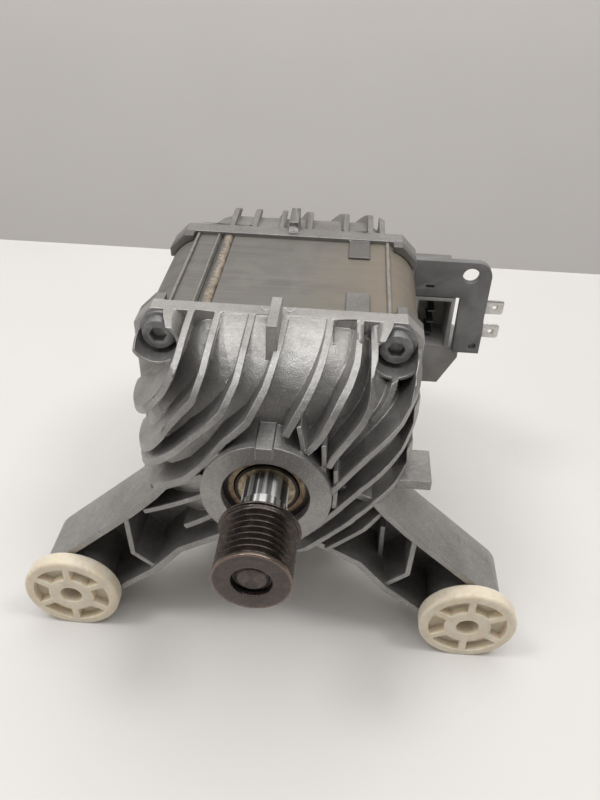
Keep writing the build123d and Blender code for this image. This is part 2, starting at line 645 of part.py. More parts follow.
def rear_shield():
    """Die-cast brush end shield with fins and bearing seat."""
    nose = REAR_BOSS_RADIUS - NOSE_INSET
    crest = dome(CREST_HALF_X, REAR_CREST_HALF_Z, CREST_CORNER, nose, REAR_FLANGE_END, REAR_END - REAR_CREST_SHORT)
    root = dome(ROOT_HALF_X, REAR_ROOT_HALF_Z, REAR_ROOT_CORNER, nose, REAR_FLANGE_END, REAR_END - REAR_ROOT_SHORT)
    flange = across(chamfered(FLANGE_HALF_X, FLANGE_HALF_Z, FLANGE_CHAMFER), STACK_REAR, REAR_FLANGE_END)
    boss = rod(REAR_BOSS_RADIUS, REAR_FLANGE_END, REAR_END)
    shield = root + flange + boss
    for turn in (-1, 1):
        shield += fins(REAR_FINS, crest, REAR_FLANGE_END, REAR_END, CREST_HALF_Z, turn, turn * REAR_FIN_SHIFT)
    tab_start = REAR_FLANGE_END - REAR_TAB_ONTO_STACK
    shield += block(TAB_X - TAB_HALF_WIDTH, TAB_X + TAB_HALF_WIDTH, tab_start, tab_start + REAR_TAB_LENGTH,
                    CAVITY_RADIUS, REAR_TAB_TOP)
    shield += block(TONGUE_X - TONGUE_WIDTH / 2, TONGUE_X + TONGUE_WIDTH / 2, STACK_REAR - TONGUE_LENGTH,
                    REAR_FLANGE_END, STACK_HALF_Z, STACK_HALF_Z + TONGUE_THICK)
    shield += corner_lips(STACK_REAR - CORNER_LIP, STACK_REAR)
    notch_front = PLATE_FRONT - PLATE_BEHIND / 2
    notch_back = PLATE_FRONT + PLATE_THICK + LOOSE_GAP
    shield -= block(PLATE_LEFT - LOOSE_GAP, CREST_HALF_X + OVERRUN, notch_front, notch_back, ARM_BOTTOM - LOOSE_GAP,
                    PLATE_TOP + LOOSE_GAP)
    shield += bracket_ear()
    shield -= cavity(STACK_REAR - OVERRUN, REAR_BEARING_Y - 3 * CAVITY_WALL, REAR_BEARING_Y,
                     REAR_BEARING_RADIUS + CAVITY_WALL)
    shield -= rod(REAR_BEARING_RADIUS + SEAT_GAP, REAR_BEARING_Y - OVERRUN, REAR_BEARING_END + WASHER_THICK)
    shield -= rod(TAIL_RADIUS + LOOSE_GAP, REAR_BEARING_Y, REAR_END + OVERRUN)
    for x, z in corners(1):
        shield -= rod(SCREW_RADIUS + SEAT_GAP, STACK_REAR - OVERRUN, REAR_FLANGE_END - SCREW_END_GAP / 2, x, z)
    for x, z in corners(-1):
        shield -= rod(REAR_POCKET_RADIUS, REAR_FLANGE_END, REAR_FLANGE_END + REAR_POCKET_REACH, x, z)
        shield -= rod(SCREW_RADIUS + SCREW_CLEARANCE, STACK_REAR - OVERRUN, REAR_END, x, z)
    return shield


def pulley():
    """Steel pulley with V grooves, end collars and a thin rear guard ring."""
    pitch = GROOVE_PITCH
    floor = PULLEY_RADIUS - GROOVE_DEPTH
    profile = [(NOSE_RADIUS + SEAT_GAP, PULLEY_FRONT), (PULLEY_RADIUS - PULLEY_CHAMFER, PULLEY_FRONT),
               (PULLEY_RADIUS, PULLEY_FRONT + PULLEY_CHAMFER), (PULLEY_RADIUS, -BAND_HALF)]
    for number in range(GROOVE_COUNT):
        middle = -BAND_HALF + (number + 1 / 2) * pitch
        profile += [(floor, middle - GROOVE_FLOOR / 2), (floor, middle + GROOVE_FLOOR / 2)]
        profile.append((PULLEY_RADIUS, middle + pitch / 2))
    collar_end = BAND_HALF + PULLEY_COLLAR
    profile += [(PULLEY_RADIUS, collar_end), (GUARD_RADIUS, collar_end), (GUARD_RADIUS, PULLEY_REAR),
                (NOSE_RADIUS + SEAT_GAP, PULLEY_REAR)]
    return turned(*profile) - rod(RECESS_RADIUS, PULLEY_FRONT - OVERRUN, PULLEY_FRONT + RECESS_DEPTH)


def shaft():
    """Stepped steel shaft from the pulley to the speed sensor magnet."""
    neck_start = PULLEY_REAR + NECK_COLLAR_LENGTH
    nose_tip = NOSE_RADIUS - NOSE_CHAMFER
    return turned(
        (0, NOSE_FRONT), (nose_tip, NOSE_FRONT), (NOSE_RADIUS, NOSE_FRONT + NOSE_CHAMFER),
        (NOSE_RADIUS, PULLEY_REAR), (NECK_COLLAR_RADIUS, PULLEY_REAR), (NECK_COLLAR_RADIUS, neck_start),
        (NECK_RADIUS, neck_start), (NECK_RADIUS, FRONT_BEARING_END), (CORE_SEAT_RADIUS, FRONT_BEARING_END),
        (CORE_SEAT_RADIUS, REAR_BEARING_Y), (TAIL_RADIUS, REAR_BEARING_Y), (TAIL_RADIUS, MAGNET_END),
        (0, MAGNET_END),
    )


def bearing(name, y_from, width, bore, outer, ball, count):
    """Deep-groove ball bearing as separate rings, balls, cage and seals."""
    pitch = (bore + outer) / 2
    shoulder = ball * (1 - RACE_SHARE)
    middle = y_from + width / 2
    groove = Pos(0, middle, 0) * Rot(90, 0, 0) * Torus(pitch, ball + BALL_GAP)
    inner_edge = pitch - shoulder
    outer_edge = pitch + shoulder
    made = {
        name + "_inner_ring": ring(inner_edge, bore + SEAT_GAP, y_from, y_from + width) - groove,
        name + "_outer_ring": ring(outer, outer_edge, y_from, y_from + width) - groove,
    }
    balls = []
    pockets = []
    for number in range(count):
        place = Rot(0, 360 / count * number, 0) * Pos(pitch, middle, 0)
        balls.append(place * Sphere(ball))
        pockets.append(place * Rot(0, 90, 0) * Cylinder(ball + BALL_GAP, 2 * CAGE_WALL))
    made[name + "_balls"] = Compound(children=balls)
    cage_half = ball + CAGE_EDGE
    cage = ring(pitch + CAGE_WALL / 2, pitch - CAGE_WALL / 2, middle - cage_half, middle + cage_half)
    for pocket in pockets:
        cage -= pocket
    made[name + "_cage"] = cage
    seals = []
    for seal_at in (y_from + SEAL_INSET, y_from + width - SEAL_INSET - SEAL_THICK):
        seals.append(ring(outer_edge - SEAT_GAP, inner_edge + SEAL_GAP, seal_at, seal_at + SEAL_THICK))
    made[name + "_seals"] = Compound(children=seals)
    return made


def slots(outer, inner, half_angle_open):
    """Upper and lower winding windows of the stack."""
    made = []
    for middle in (90, -90):
        made.append(sector(outer, inner, middle, 90 - POLE_BODY_ANGLE))
        made.append(sector(outer, BORE_RADIUS - OVERRUN, middle, half_angle_open))
    return made


def stator_core():
    """Laminated stack with two poles, screw holes and weld seams."""
    core = across(rounded(STACK_HALF_X, STACK_HALF_Z, STACK_CORNER), STACK_FRONT, STACK_REAR)
    core -= rod(BORE_RADIUS, STACK_FRONT - OVERRUN, STACK_REAR + OVERRUN)
    for window in slots(WINDOW_RADIUS, BORE_RADIUS + POLE_TIP, 90 - POLE_TIP_ANGLE):
        core -= across(window, STACK_FRONT - OVERRUN, STACK_REAR + OVERRUN)
    for x, z in corners(1) + corners(-1):
        core -= rod(SCREW_RADIUS + SCREW_CLEARANCE, STACK_FRONT - OVERRUN, STACK_REAR + OVERRUN, x, z)
    for turn in (-1, 1):
        x_edges = sorted(turn * (WELD_GROOVE_X + side * WELD_GROOVE_WIDTH / 2) for side in (-1, 1))
        z_edges = sorted((turn * (STACK_HALF_Z - WELD_GROOVE_DEPTH), turn * (STACK_HALF_Z + OVERRUN)))
        core -= block(*x_edges, STACK_FRONT - OVERRUN, STACK_REAR + OVERRUN, *z_edges)
        core += rod(WELD_BEAD_RADIUS, STACK_FRONT, STACK_REAR, turn * WELD_GROOVE_X,
                    turn * (STACK_HALF_Z - WELD_GROOVE_DEPTH))
    return core


def field_coil(middle):
    """Saddle coil round one pole."""
    outer = WINDOW_RADIUS - COIL_GAP
    inner = BORE_RADIUS + POLE_TIP + COIL_GAP
    coil = across(sector(outer, inner, middle, COIL_EDGE_ANGLE), STACK_FRONT - COIL_OVERHANG,
                  STACK_REAR + COIL_OVERHANG)
    opening = sector(outer + OVERRUN, inner - OVERRUN, middle, COIL_SIDE_ANGLE)
    return coil - across(opening, STACK_FRONT - COIL_END_GAP, STACK_REAR + COIL_END_GAP)


def end_insulator(y_from):
    """Plastic end plate between the stack and the coil ends."""
    plate = ring(INSULATOR_RADIUS, BORE_RADIUS + OVERRUN, y_from, y_from + INSULATOR_THICK)
    for window in slots(WINDOW_RADIUS, BORE_RADIUS + POLE_TIP, 90 - POLE_TIP_ANGLE):
        plate -= across(window, y_from - OVERRUN, y_from + INSULATOR_THICK + OVERRUN)
    return plate


def slot_bars(width, inner, outer, y_from, y_to):
    """Radial bars, one for each rotor slot."""
    bars = []
    for number in range(SLOT_COUNT):
        turn = Rot(0, 360 / SLOT_COUNT * number, 0)
        bars.append(turn * block(inner, outer, y_from, y_to, -width / 2, width / 2))
    return bars


def rotor_core():
    """Slotted lamination stack on the shaft."""
    core = ring(ROTOR_RADIUS, CORE_SEAT_RADIUS + SEAT_GAP, STACK_FRONT, STACK_REAR)
    slot_top = ROTOR_RADIUS - SLOT_BRIDGE
    core -= slot_bars(SLOT_WIDTH, slot_top - SLOT_DEPTH, slot_top, STACK_FRONT - OVERRUN, STACK_REAR + OVERRUN)
    core -= slot_bars(SLOT_MOUTH, slot_top - OVERRUN, ROTOR_RADIUS + OVERRUN, STACK_FRONT - OVERRUN,
                      STACK_REAR + OVERRUN)
    return core


def rotor_winding():
    """Slot bars joined by rounded end windings."""
    slot_top = ROTOR_RADIUS - SLOT_BRIDGE
    ends = []
    for y_from, y_to in ((STACK_FRONT - WINDING_FRONT, STACK_FRONT - BAR_GAP),
                         (STACK_REAR + BAR_GAP, STACK_REAR + WINDING_REAR)):
        end = ring(WINDING_OUTER, WINDING_INNER, y_from, y_to)
        outer_edges = end.edges().filter_by(GeomType.CIRCLE).filter_by(lambda edge: edge.radius > WINDING_INNER)
        ends.append(fillet(outer_edges, WINDING_ROUND))
    bars = slot_bars(SLOT_WIDTH - 2 * BAR_GAP, slot_top - SLOT_DEPTH + BAR_GAP, slot_top - BAR_GAP,
                     STACK_FRONT - WINDING_ROUND, STACK_REAR + WINDING_ROUND)
    return ends[0] + ends[1] + bars


def commutator():
    """Copper segments and the moulded hub under them."""
    copper = ring(COMMUTATOR_RADIUS, HUB_RADIUS, COMMUTATOR_Y, COMMUTATOR_END)
    copper += ring(RISER_RADIUS, HUB_RADIUS, COMMUTATOR_Y, COMMUTATOR_Y + RISER_WIDTH)
    for number in range(SLOT_COUNT):
        turn = Rot(0, 360 / SLOT_COUNT * number, 0)
        copper -= turn * block(HUB_RADIUS - OVERRUN, RISER_RADIUS + OVERRUN, COMMUTATOR_Y - OVERRUN,
                               COMMUTATOR_END + OVERRUN, -SEGMENT_GAP / 2, SEGMENT_GAP / 2)
    hub = ring(HUB_RADIUS - SEAT_GAP, CORE_SEAT_RADIUS + SEAT_GAP, COMMUTATOR_Y, COMMUTATOR_END)
    return copper, hub


def brush_block(side, start, end, grow):
    """Box round the brush line on one side of the commutator."""
    x_edges = sorted((side * start, side * end))
    half_y = BRUSH_HEIGHT / 2 + grow
    half_z = BRUSH_WIDTH / 2 + grow
    return block(*x_edges, BRUSH_Y - half_y, BRUSH_Y + half_y, -half_z, half_z)


def brush_gear(side):
    """Brush, its brass tube, plastic holder and spring on one side."""
    brush_end = COMMUTATOR_RADIUS + BRUSH_AIR + BRUSH_LENGTH
    brush = brush_block(side, 0, brush_end, 0)
    brush -= rod(COMMUTATOR_RADIUS + BRUSH_AIR, BRUSH_Y - BRUSH_HEIGHT, BRUSH_Y + BRUSH_HEIGHT)
    tube_start = COMMUTATOR_RADIUS + TUBE_START_GAP
    outside = BRUSH_SLIDE_GAP + TUBE_WALL
    tube = brush_block(side, tube_start, TUBE_END, outside)
    tube -= brush_block(side, tube_start - OVERRUN, TUBE_END - TUBE_WALL, BRUSH_SLIDE_GAP)
    holder = brush_block(side, tube_start + HOLDER_START_GAP, HOLDER_END, outside + HOLDER_WALL)
    holder -= brush_block(side, tube_start, HOLDER_END + OVERRUN, outside + SEAT_GAP)
    spring_start = brush_end + SPRING_WIRE + SPRING_END_GAP
    spring_length = TUBE_END - TUBE_WALL - SPRING_WIRE - SPRING_END_GAP - spring_start
    spring_line = Helix(spring_length / SPRING_TURNS, spring_length, SPRING_RADIUS,
                        center=(-spring_start, BRUSH_Y, 0), direction=(-1, 0, 0))
    section = Plane(spring_line @ 0, z_dir=spring_line % 0) * Circle(SPRING_WIRE)
    spring = Rot(0, 90 * (side + 1), 0) * sweep(section, spring_line)
    return brush, tube, holder, spring


def brush_yoke():
    """Plastic ring that carries both brush holders."""
    holder_front = BRUSH_Y - BRUSH_HEIGHT / 2 - BRUSH_SLIDE_GAP - TUBE_WALL - HOLDER_WALL
    return ring(CAVITY_RADIUS - LOOSE_GAP, YOKE_INNER, holder_front - YOKE_THICK, holder_front)


def clamp_screw(seat, tip, toward, x, z):
    """Socket screw from its seat to its tip; toward is the way from the seat to the head's top."""
    washer_top = seat + toward * SCREW_FLANGE_HEIGHT
    head_top = seat + toward * SCREW_HEAD_HEIGHT
    socket_end = head_top - toward * SOCKET_DEPTH
    screw = rod(SCREW_RADIUS, *sorted((seat, tip)), x, z)
    screw += rod(SCREW_FLANGE_RADIUS, *sorted((seat, washer_top)), x, z)
    screw += rod(SCREW_HEAD_RADIUS, *sorted((washer_top, head_top)), x, z)
    hexagon = Pos(x, z) * RegularPolygon(SOCKET_ACROSS / 2, 6, major_radius=False)
    return screw - across(hexagon, *sorted((socket_end, head_top + toward * OVERRUN)))


def clamp_screws():
    """Two screws from the front and two from the rear, which clamp both shields on the stack."""
    upper = [clamp_screw(FLANGE_FRONT, REAR_FLANGE_END - SCREW_END_GAP, -1, x, z) for x, z in corners(1)]
    lower = [clamp_screw(REAR_FLANGE_END, FLANGE_FRONT + SCREW_END_GAP, 1, x, z) for x, z in corners(-1)]
    return Compound(children=upper + lower)


def bushing(side):
    """Nylon bushing with a pocketed front disc and a barrel in the leg's eye."""
    disc = rod(DISC_RADIUS, DISC_FRONT, LEG_FRONT)
    disc = fillet(disc.edges().filter_by(GeomType.CIRCLE), DISC_ROUND)
    disc &= block(-DISC_RADIUS, DISC_RADIUS, DISC_FRONT, LEG_FRONT, -DISC_FLAT, DISC_RADIUS)
    pocket = ring(DISC_RADIUS - RIM_WIDTH, HUB_OUTER, DISC_FRONT - OVERRUN, DISC_FRONT + POCKET_DEPTH)
    for number in range(POCKET_COUNT):
        turn = Rot(0, 360 / POCKET_COUNT * number + POCKET_TURN, 0)
        pocket -= turn * block(0, DISC_RADIUS, DISC_FRONT - OVERRUN, LEG_FRONT, -SPOKE_WIDTH / 2, SPOKE_WIDTH / 2)
    body = disc - pocket + rod(BUSHING_BARREL, LEG_FRONT, LEG_REAR)
    body -= rod(BUSHING_BORE, DISC_FRONT - OVERRUN, LEG_REAR + OVERRUN)
    return Pos(side * BUSHING_X, 0, BUSHING_Z) * body


def connector_bracket():
    """Dark plastic plate with an arm, a bar and holes."""
    back = PLATE_FRONT + PLATE_THICK
    arm = block(PLATE_LEFT, PLATE_RIGHT, PLATE_FRONT, back, ARM_BOTTOM, PLATE_TOP)
    bar = block(BAR_LEFT, PLATE_RIGHT, PLATE_FRONT, back, BAR_BOTTOM, PLATE_TOP)
    plate = arm + bar
    top_corner = plate.edges().filter_by(Axis.Y).group_by(Axis.X)[-1].sort_by(Axis.Z)[-1]
    plate = fillet(top_corner, PLATE_CORNER)
    foot = make_face(Polyline((PLATE_FRONT, BAR_BOTTOM), (PLATE_FRONT - BAR_STEP, BAR_BOTTOM),
                              (PLATE_FRONT - BAR_STEP, BAR_STEP_Z - BAR_STEP), (PLATE_FRONT, BAR_STEP_Z + BAR_STEP),
                              close=True))
    plate += extrude(Plane.YZ.offset(BAR_LEFT) * foot, amount=PLATE_RIGHT - BAR_LEFT, dir=(1, 0, 0))
    front = PLATE_FRONT - BAR_STEP - OVERRUN
    plate -= rod(BRACKET_HOLE_RADIUS, front, back + OVERRUN, BRACKET_HOLE_X, BRACKET_HOLE_Z)
    plate -= rod(TAB_HOLE_RADIUS, front, back + OVERRUN, TAB_HOLE_X, TAB_HOLE_Z)
    plate -= block(SLOT_HOLE_X - SLOT_HOLE_LENGTH / 2, SLOT_HOLE_X + SLOT_HOLE_LENGTH / 2, front, back + OVERRUN,
                   SLOT_HOLE_Z - SLOT_HOLE_HEIGHT / 2, SLOT_HOLE_Z + SLOT_HOLE_HEIGHT / 2)
    for x in EAR_SCREW_X:
        plate -= rod(BRACKET_SCREW_RADIUS + SEAT_GAP, PLATE_FRONT + BRACKET_SCREW_TIP_GAP, back + OVERRUN, x,
                     EAR_SCREW_Z)
    for z in (UPPER_BLADE_Z, LOWER_BLADE_Z):
        plate -= blade_block(z, SEAT_GAP)
    return plate


def blade_block(z, grow):
    """Body of a flat terminal that stands out of the bar's side."""
    middle = PLATE_FRONT + PLATE_THICK / 2
    return block(PLATE_RIGHT - BLADE_ROOT - grow, PLATE_RIGHT + BLADE_REACH, middle - BLADE_THICK / 2 - grow,
                 middle + BLADE_THICK / 2 + grow, z - BLADE_WIDTH / 2 - grow, z + BLADE_WIDTH / 2 + grow)


def terminal_blade(z):
    """Flat tin-plated terminal with a locking hole."""
    blade = blade_block(z, 0)
    tips = blade.edges().filter_by(Axis.Y).group_by(Axis.X)[-1]
    blade = chamfer(tips, BLADE_CHAMFER)
    return blade - rod(BLADE_HOLE, PLATE_FRONT, PLATE_FRONT + PLATE_THICK, PLATE_RIGHT + BLADE_REACH / 2, z)


def connector_housing():
    """Black plug socket under the bracket's arm, with a chamfered foot."""
    back = PLATE_FRONT + HOUSING_LENGTH
    box = block(HOUSING_LEFT, HOUSING_RIGHT, PLATE_FRONT, back, HOUSING_FLOOR, HOUSING_TOP)
    foot = make_face(Polyline((HOUSING_LEFT, HOUSING_FLOOR), (HOUSING_FOOT_RIGHT, HOUSING_FLOOR),
                              (HOUSING_FOOT_RIGHT, HOUSING_BOTTOM + HOUSING_CHAMFER * 2),
                              (HOUSING_FOOT_RIGHT - HOUSING_CHAMFER, HOUSING_BOTTOM),
                              (HOUSING_LEFT, HOUSING_BOTTOM), close=True))
    box += across(foot, PLATE_FRONT, back)
    lip_front = PLATE_FRONT + PLATE_THICK
    box += block(HOUSING_LEFT + HOUSING_WALL, HOUSING_RIGHT - HOUSING_WALL, lip_front, lip_front + HOUSING_LIP_THICK,
                 HOUSING_TOP, HOUSING_TOP + HOUSING_LIP)
    pocket = block(HOUSING_LEFT + HOUSING_WALL, HOUSING_RIGHT - HOUSING_WALL, PLATE_FRONT - OVERRUN,
                   PLATE_FRONT + HOUSING_POCKET, HOUSING_FLOOR + HOUSING_WALL, HOUSING_TOP - HOUSING_WALL)
    return box - pocket


def housing_pins():
    """Row of flat contacts in the plug socket."""
    pocket_back = PLATE_FRONT + HOUSING_POCKET
    middle = (HOUSING_LEFT + HOUSING_RIGHT) / 2
    spacing = (HOUSING_TOP - HOUSING_FLOOR - 2 * HOUSING_WALL) / PIN_COUNT
    pins = []
    for number in range(PIN_COUNT):
        z = HOUSING_FLOOR + HOUSING_WALL + (number + 1 / 2) * spacing
        pins.append(block(middle - PIN_WIDTH / 2, middle + PIN_WIDTH / 2, pocket_back - PIN_LENGTH, pocket_back,
                          z - PIN_THICK / 2, z + PIN_THICK / 2))
    return Compound(children=pins)


def bracket_screws():
    """Two screws from behind the ear into the bracket."""
    ear_back = PLATE_FRONT + PLATE_THICK + EAR_THICK
    screws = []
    for x in EAR_SCREW_X:
        screw = rod(BRACKET_SCREW_RADIUS, PLATE_FRONT + 2 * BRACKET_SCREW_TIP_GAP, ear_back, x, EAR_SCREW_Z)
        screw += rod(BRACKET_SCREW_HEAD, ear_back, ear_back + BRACKET_SCREW_HEAD_HEIGHT, x, EAR_SCREW_Z)
        screws.append(screw)
    return Compound(children=screws)


def speed_sensor():
    """Magnet on the shaft's end, its pick-up coil and the rear cap."""
    magnet = ring(MAGNET_RADIUS, TAIL_RADIUS + SEAT_GAP, MAGNET_Y, MAGNET_END)
    coil_inner = MAGNET_RADIUS + SENSOR_GAP
    coil = ring(coil_inner + SENSOR_WALL, coil_inner, REAR_END, MAGNET_END)
    cap = rod(SENSOR_CAP_RADIUS, REAR_END, CAP_END)
    cap = fillet(cap.edges().filter_by(GeomType.CIRCLE).sort_by(Axis.Y)[-1], SENSOR_CAP_WALL)
    cap -= rod(SENSOR_CAP_RADIUS - SENSOR_CAP_WALL, REAR_END - OVERRUN, CAP_END - SENSOR_CAP_WALL)
    return magnet, coil, cap


def thermal_cutout():
    """Small cut-out on the front end of the left field coil."""
    end = STACK_FRONT - COIL_OVERHANG
    outer = WINDOW_RADIUS - COIL_GAP
    return block(-outer, CUTOUT_HEIGHT - outer, end - CUTOUT_WIDTH, end, -CUTOUT_LENGTH / 2, CUTOUT_LENGTH / 2)


copper_segments, commutator_hub = commutator()
magnet, sensor_coil, sensor_cap = speed_sensor()
nodes = {
    "front_shield": front_shield(),
    "rear_shield": rear_shield(),
    "stator_core": stator_core(),
    "field_coil_right": field_coil(0),
    "field_coil_left": field_coil(180),
    "front_end_insulator": end_insulator(STACK_FRONT - INSULATOR_THICK),
    "rear_end_insulator": end_insulator(STACK_REAR),
    "thermal_cutout": thermal_cutout(),
    "clamp_screws": clamp_screws(),
    "bushing_right": bushing(1),
    "bushing_left": bushing(-1),
    "shaft": shaft(),
    "pulley": pulley(),
    "rotor_core": rotor_core(),
    "rotor_winding": rotor_winding(),
    "commutator_segments": copper_segments,
    "commutator_hub": commutator_hub,
    "brush_yoke": brush_yoke(),
    "preload_washer": ring(REAR_BEARING_RADIUS, REAR_BEARING_RADIUS - WASHER_WIDTH, REAR_BEARING_END,
                           REAR_BEARING_END + WASHER_THICK),
    "connector_bracket": connector_bracket(),
    "connector_housing": connector_housing(),
    "housing_pins": housing_pins(),
    "terminal_blade_upper": terminal_blade(UPPER_BLADE_Z),
    "terminal_blade_lower": terminal_blade(LOWER_BLADE_Z),
    "bracket_screws": bracket_screws(),
    "sensor_magnet": magnet,
    "sensor_coil": sensor_coil,
    "sensor_cap": sensor_cap,
}
nodes.update(bearing("front_bearing", FRONT_BEARING_Y, FRONT_BEARING_WIDTH, NECK_RADIUS, FRONT_BEARING_RADIUS,
                     FRONT_BALL_RADIUS, FRONT_BALL_COUNT))
nodes.update(bearing("rear_bearing", REAR_BEARING_Y, REAR_BEARING_WIDTH, TAIL_RADIUS, REAR_BEARING_RADIUS,
                     REAR_BALL_RADIUS, REAR_BALL_COUNT))
for side, word in ((1, "right"), (-1, "left")):
    brush, tube, holder, spring = brush_gear(side)
    nodes["brush_" + word] = brush
    nodes["brush_tube_" + word] = tube
    nodes["brush_holder_" + word] = holder
    nodes["brush_spring_" + word] = spring

for name, shape in nodes.items():
    export_step(shape, "parts/" + name + ".step")
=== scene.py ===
"""Dresses the washing machine motor: castings, laminated stack, pulley, bearing, bushings, connector and stage."""

import json
import math

import bmesh
import bpy
from bpy.props import FloatProperty, FloatVectorProperty, IntProperty, PointerProperty
from mathutils import Matrix, Vector, noise
from mathutils.bvhtree import BVHTree
from mathutils.geometry import intersect_point_line

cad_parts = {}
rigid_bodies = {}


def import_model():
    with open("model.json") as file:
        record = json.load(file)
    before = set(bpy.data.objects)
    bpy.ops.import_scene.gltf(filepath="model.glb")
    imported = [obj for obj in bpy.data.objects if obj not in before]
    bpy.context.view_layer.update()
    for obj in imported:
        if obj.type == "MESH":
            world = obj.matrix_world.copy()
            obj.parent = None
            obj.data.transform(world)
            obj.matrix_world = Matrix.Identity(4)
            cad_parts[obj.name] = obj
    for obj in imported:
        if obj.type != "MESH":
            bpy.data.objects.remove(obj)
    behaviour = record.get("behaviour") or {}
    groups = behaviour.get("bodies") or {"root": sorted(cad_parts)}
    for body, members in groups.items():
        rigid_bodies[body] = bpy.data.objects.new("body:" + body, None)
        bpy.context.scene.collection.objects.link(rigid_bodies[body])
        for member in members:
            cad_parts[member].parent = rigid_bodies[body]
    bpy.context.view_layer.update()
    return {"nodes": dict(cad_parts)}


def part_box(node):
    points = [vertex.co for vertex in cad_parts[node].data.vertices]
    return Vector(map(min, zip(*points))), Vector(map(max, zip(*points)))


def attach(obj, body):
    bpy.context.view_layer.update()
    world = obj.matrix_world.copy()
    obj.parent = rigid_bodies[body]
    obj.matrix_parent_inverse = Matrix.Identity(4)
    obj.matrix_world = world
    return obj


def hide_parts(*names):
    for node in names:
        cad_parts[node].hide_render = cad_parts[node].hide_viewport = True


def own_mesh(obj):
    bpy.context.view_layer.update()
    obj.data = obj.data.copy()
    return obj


bl_info = {
    "name": "Washing Machine Motor",
    "version": (1, 0, 0),
    "blender": (4, 5, 0),
    "location": "View3D > Sidebar > Motor",
    "description": "Builds the dressed drive motor round its packed frame",
    "category": "Object",
}

MM = 0.001
SHAFT_LINE = Vector((0, 1, 0))
MERGE_REACH = MM / 500
TURNED_MERGE_REACH = MM / 1000

# The colour sockets of a mix node.
MIX_FIRST, MIX_SECOND, MIX_RESULT = 6, 7, 2

# Rounded castings: edges sharper than CAST_ANGLE are rounded, except within a growing reach of a spared spot.
FLAT_ANGLE = math.radians(0.2)
CAST_ANGLE = math.radians(30)
CAST_SEGMENTS = 3
SPARED_REACH = 1.6 * MM
ROUNDING_TRIES = 6

# Moulded and pressed pieces: edges sharper than MOULDED_ANGLE are bevelled.
MOULDED_FLAT_ANGLE = math.radians(1.0)
MOULDED_ANGLE = math.radians(32)
CLAMP_SCREW_ROUND = 0.35 * MM
BRACKET_SCREW_ROUND = 0.25 * MM
BLADE_ROUND = 0.12 * MM
BUSHING_ROUND_SHARE = 1.3

# Edges sharper than these, in degrees, stay sharp in smooth shading.
SMOOTH_ANGLE = 35
ROUND_SMOOTH_ANGLE = 50
STRIP_SMOOTH_ANGLE = 60

# Half-round marks on the front shield, beside its tab; the outline of their wall is in millimetres.
MARK_SPANS = ((-5.9 * MM, -2.6 * MM), (2.0 * MM, 5.2 * MM))
MARK_Y = 66.4 * MM
MARK_Z = 46.0 * MM
MARK_REACH = 2.6 * MM
MARK_OUTLINE = ((-0.22, -0.3), (-0.22, 0.0), (-0.12, 0.28), (0.12, 0.28), (0.22, 0.0), (0.22, -0.3))
MARK_STEPS = 24

# Ridges along the top of the stack, as (x, width, rise), and the weld bead between them. A corner less than
# TOP_BAND below the top of a strip is lifted.
RIDGES = ((-37.2 * MM, 1.1 * MM, 0.28 * MM), (-29.2 * MM, 0.9 * MM, 0.40 * MM), (36.4 * MM, 1.5 * MM, 0.45 * MM))
RIDGE_ROOT = 0.3 * MM
RIDGE_CUTS = (70, 3)
RIDGE_SWAY = 0.12 * MM
RIDGE_INSET = 0.1 * MM
WELD_X = -25.3 * MM
WELD_WIDTH = 3.7 * MM
WELD_RISE = 1.35 * MM
WELD_ROOT = 0.2 * MM
WELD_CUTS = (150, 7)
WELD_RIPPLE = 0.42 * MM
WELD_BUMP = 0.14 * MM
WELD_FRONT_INSET = 0.2 * MM
WELD_REAR_INSET = 0.3 * MM
TOP_BAND = 0.1 * MM

# Belt pulley, turned about the shaft line.
PULLEY_CREST = 12.0 * MM
PULLEY_BORE = 5.03 * MM
PULLEY_RECESS = 6.1 * MM
RECESS_DEPTH = 2.6 * MM
GROOVE_DEPTH = 1.6 * MM
GROOVE_FLOOR = 0.25 * MM
GUARD_WIDTH = 0.8 * MM
PULLEY_ROUND = 0.32 * MM
TURN_STEPS = 96
CORNER_STEPS = 3
CORNER_SHARE = 0.4

# Where finishes change: the oxide's length on the shaft, and two radii in the bearing.
OXIDE_REACH = 5 * MM
# Outside these two radii the race and the seal are painted dark, as shade.
RACE_RIM = 9.4 * MM
SEAL_RIM = 12.6 * MM

# Stage, in metres: the table, the wall behind it and the lamps.
TABLE_GAP = 0.02 * MM
TABLE_DEPTH = 0.02
TABLE_HALF = 2.4
TABLE_EDGE = 0.357
WALL_LOW = (-6.0, 0.95, -1.5)
WALL_HIGH = (6.0, 0.97, 2.4)
STAGE_GRAIN = 0.02 * MM
LAMP_TARGET = (0, 0.05, 0)
OVERHEAD_PLACE = (0.05, 0.12, 1.3)
OVERHEAD_SIZE = 1.7
CEILING_LAMPS = (("left_ceiling_lamp", (-0.66, -0.12, 1.2)), ("right_ceiling_lamp", (0.70, -0.12, 1.2)))
CEILING_SIZE = 0.34
WINDOW_PLACE = (-1.3, -0.5, 0.6)
WINDOW_SIZE = 0.9
ROOM_COLOUR = (1.0, 0.985, 0.965, 1)

# Camera, solved from the photo; its angles in degrees.
CAMERA_PLACE = (20.2 * MM, -141.0 * MM, 168.1 * MM)
CAMERA_YAW, CAMERA_PITCH, CAMERA_ROLL = -3.45, 37.58, 1.79
CAMERA_LENS = 32.742
SENSOR_WIDTH = 36
CLIP_START = 5 * MM

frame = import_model()
nodes = frame["nodes"]


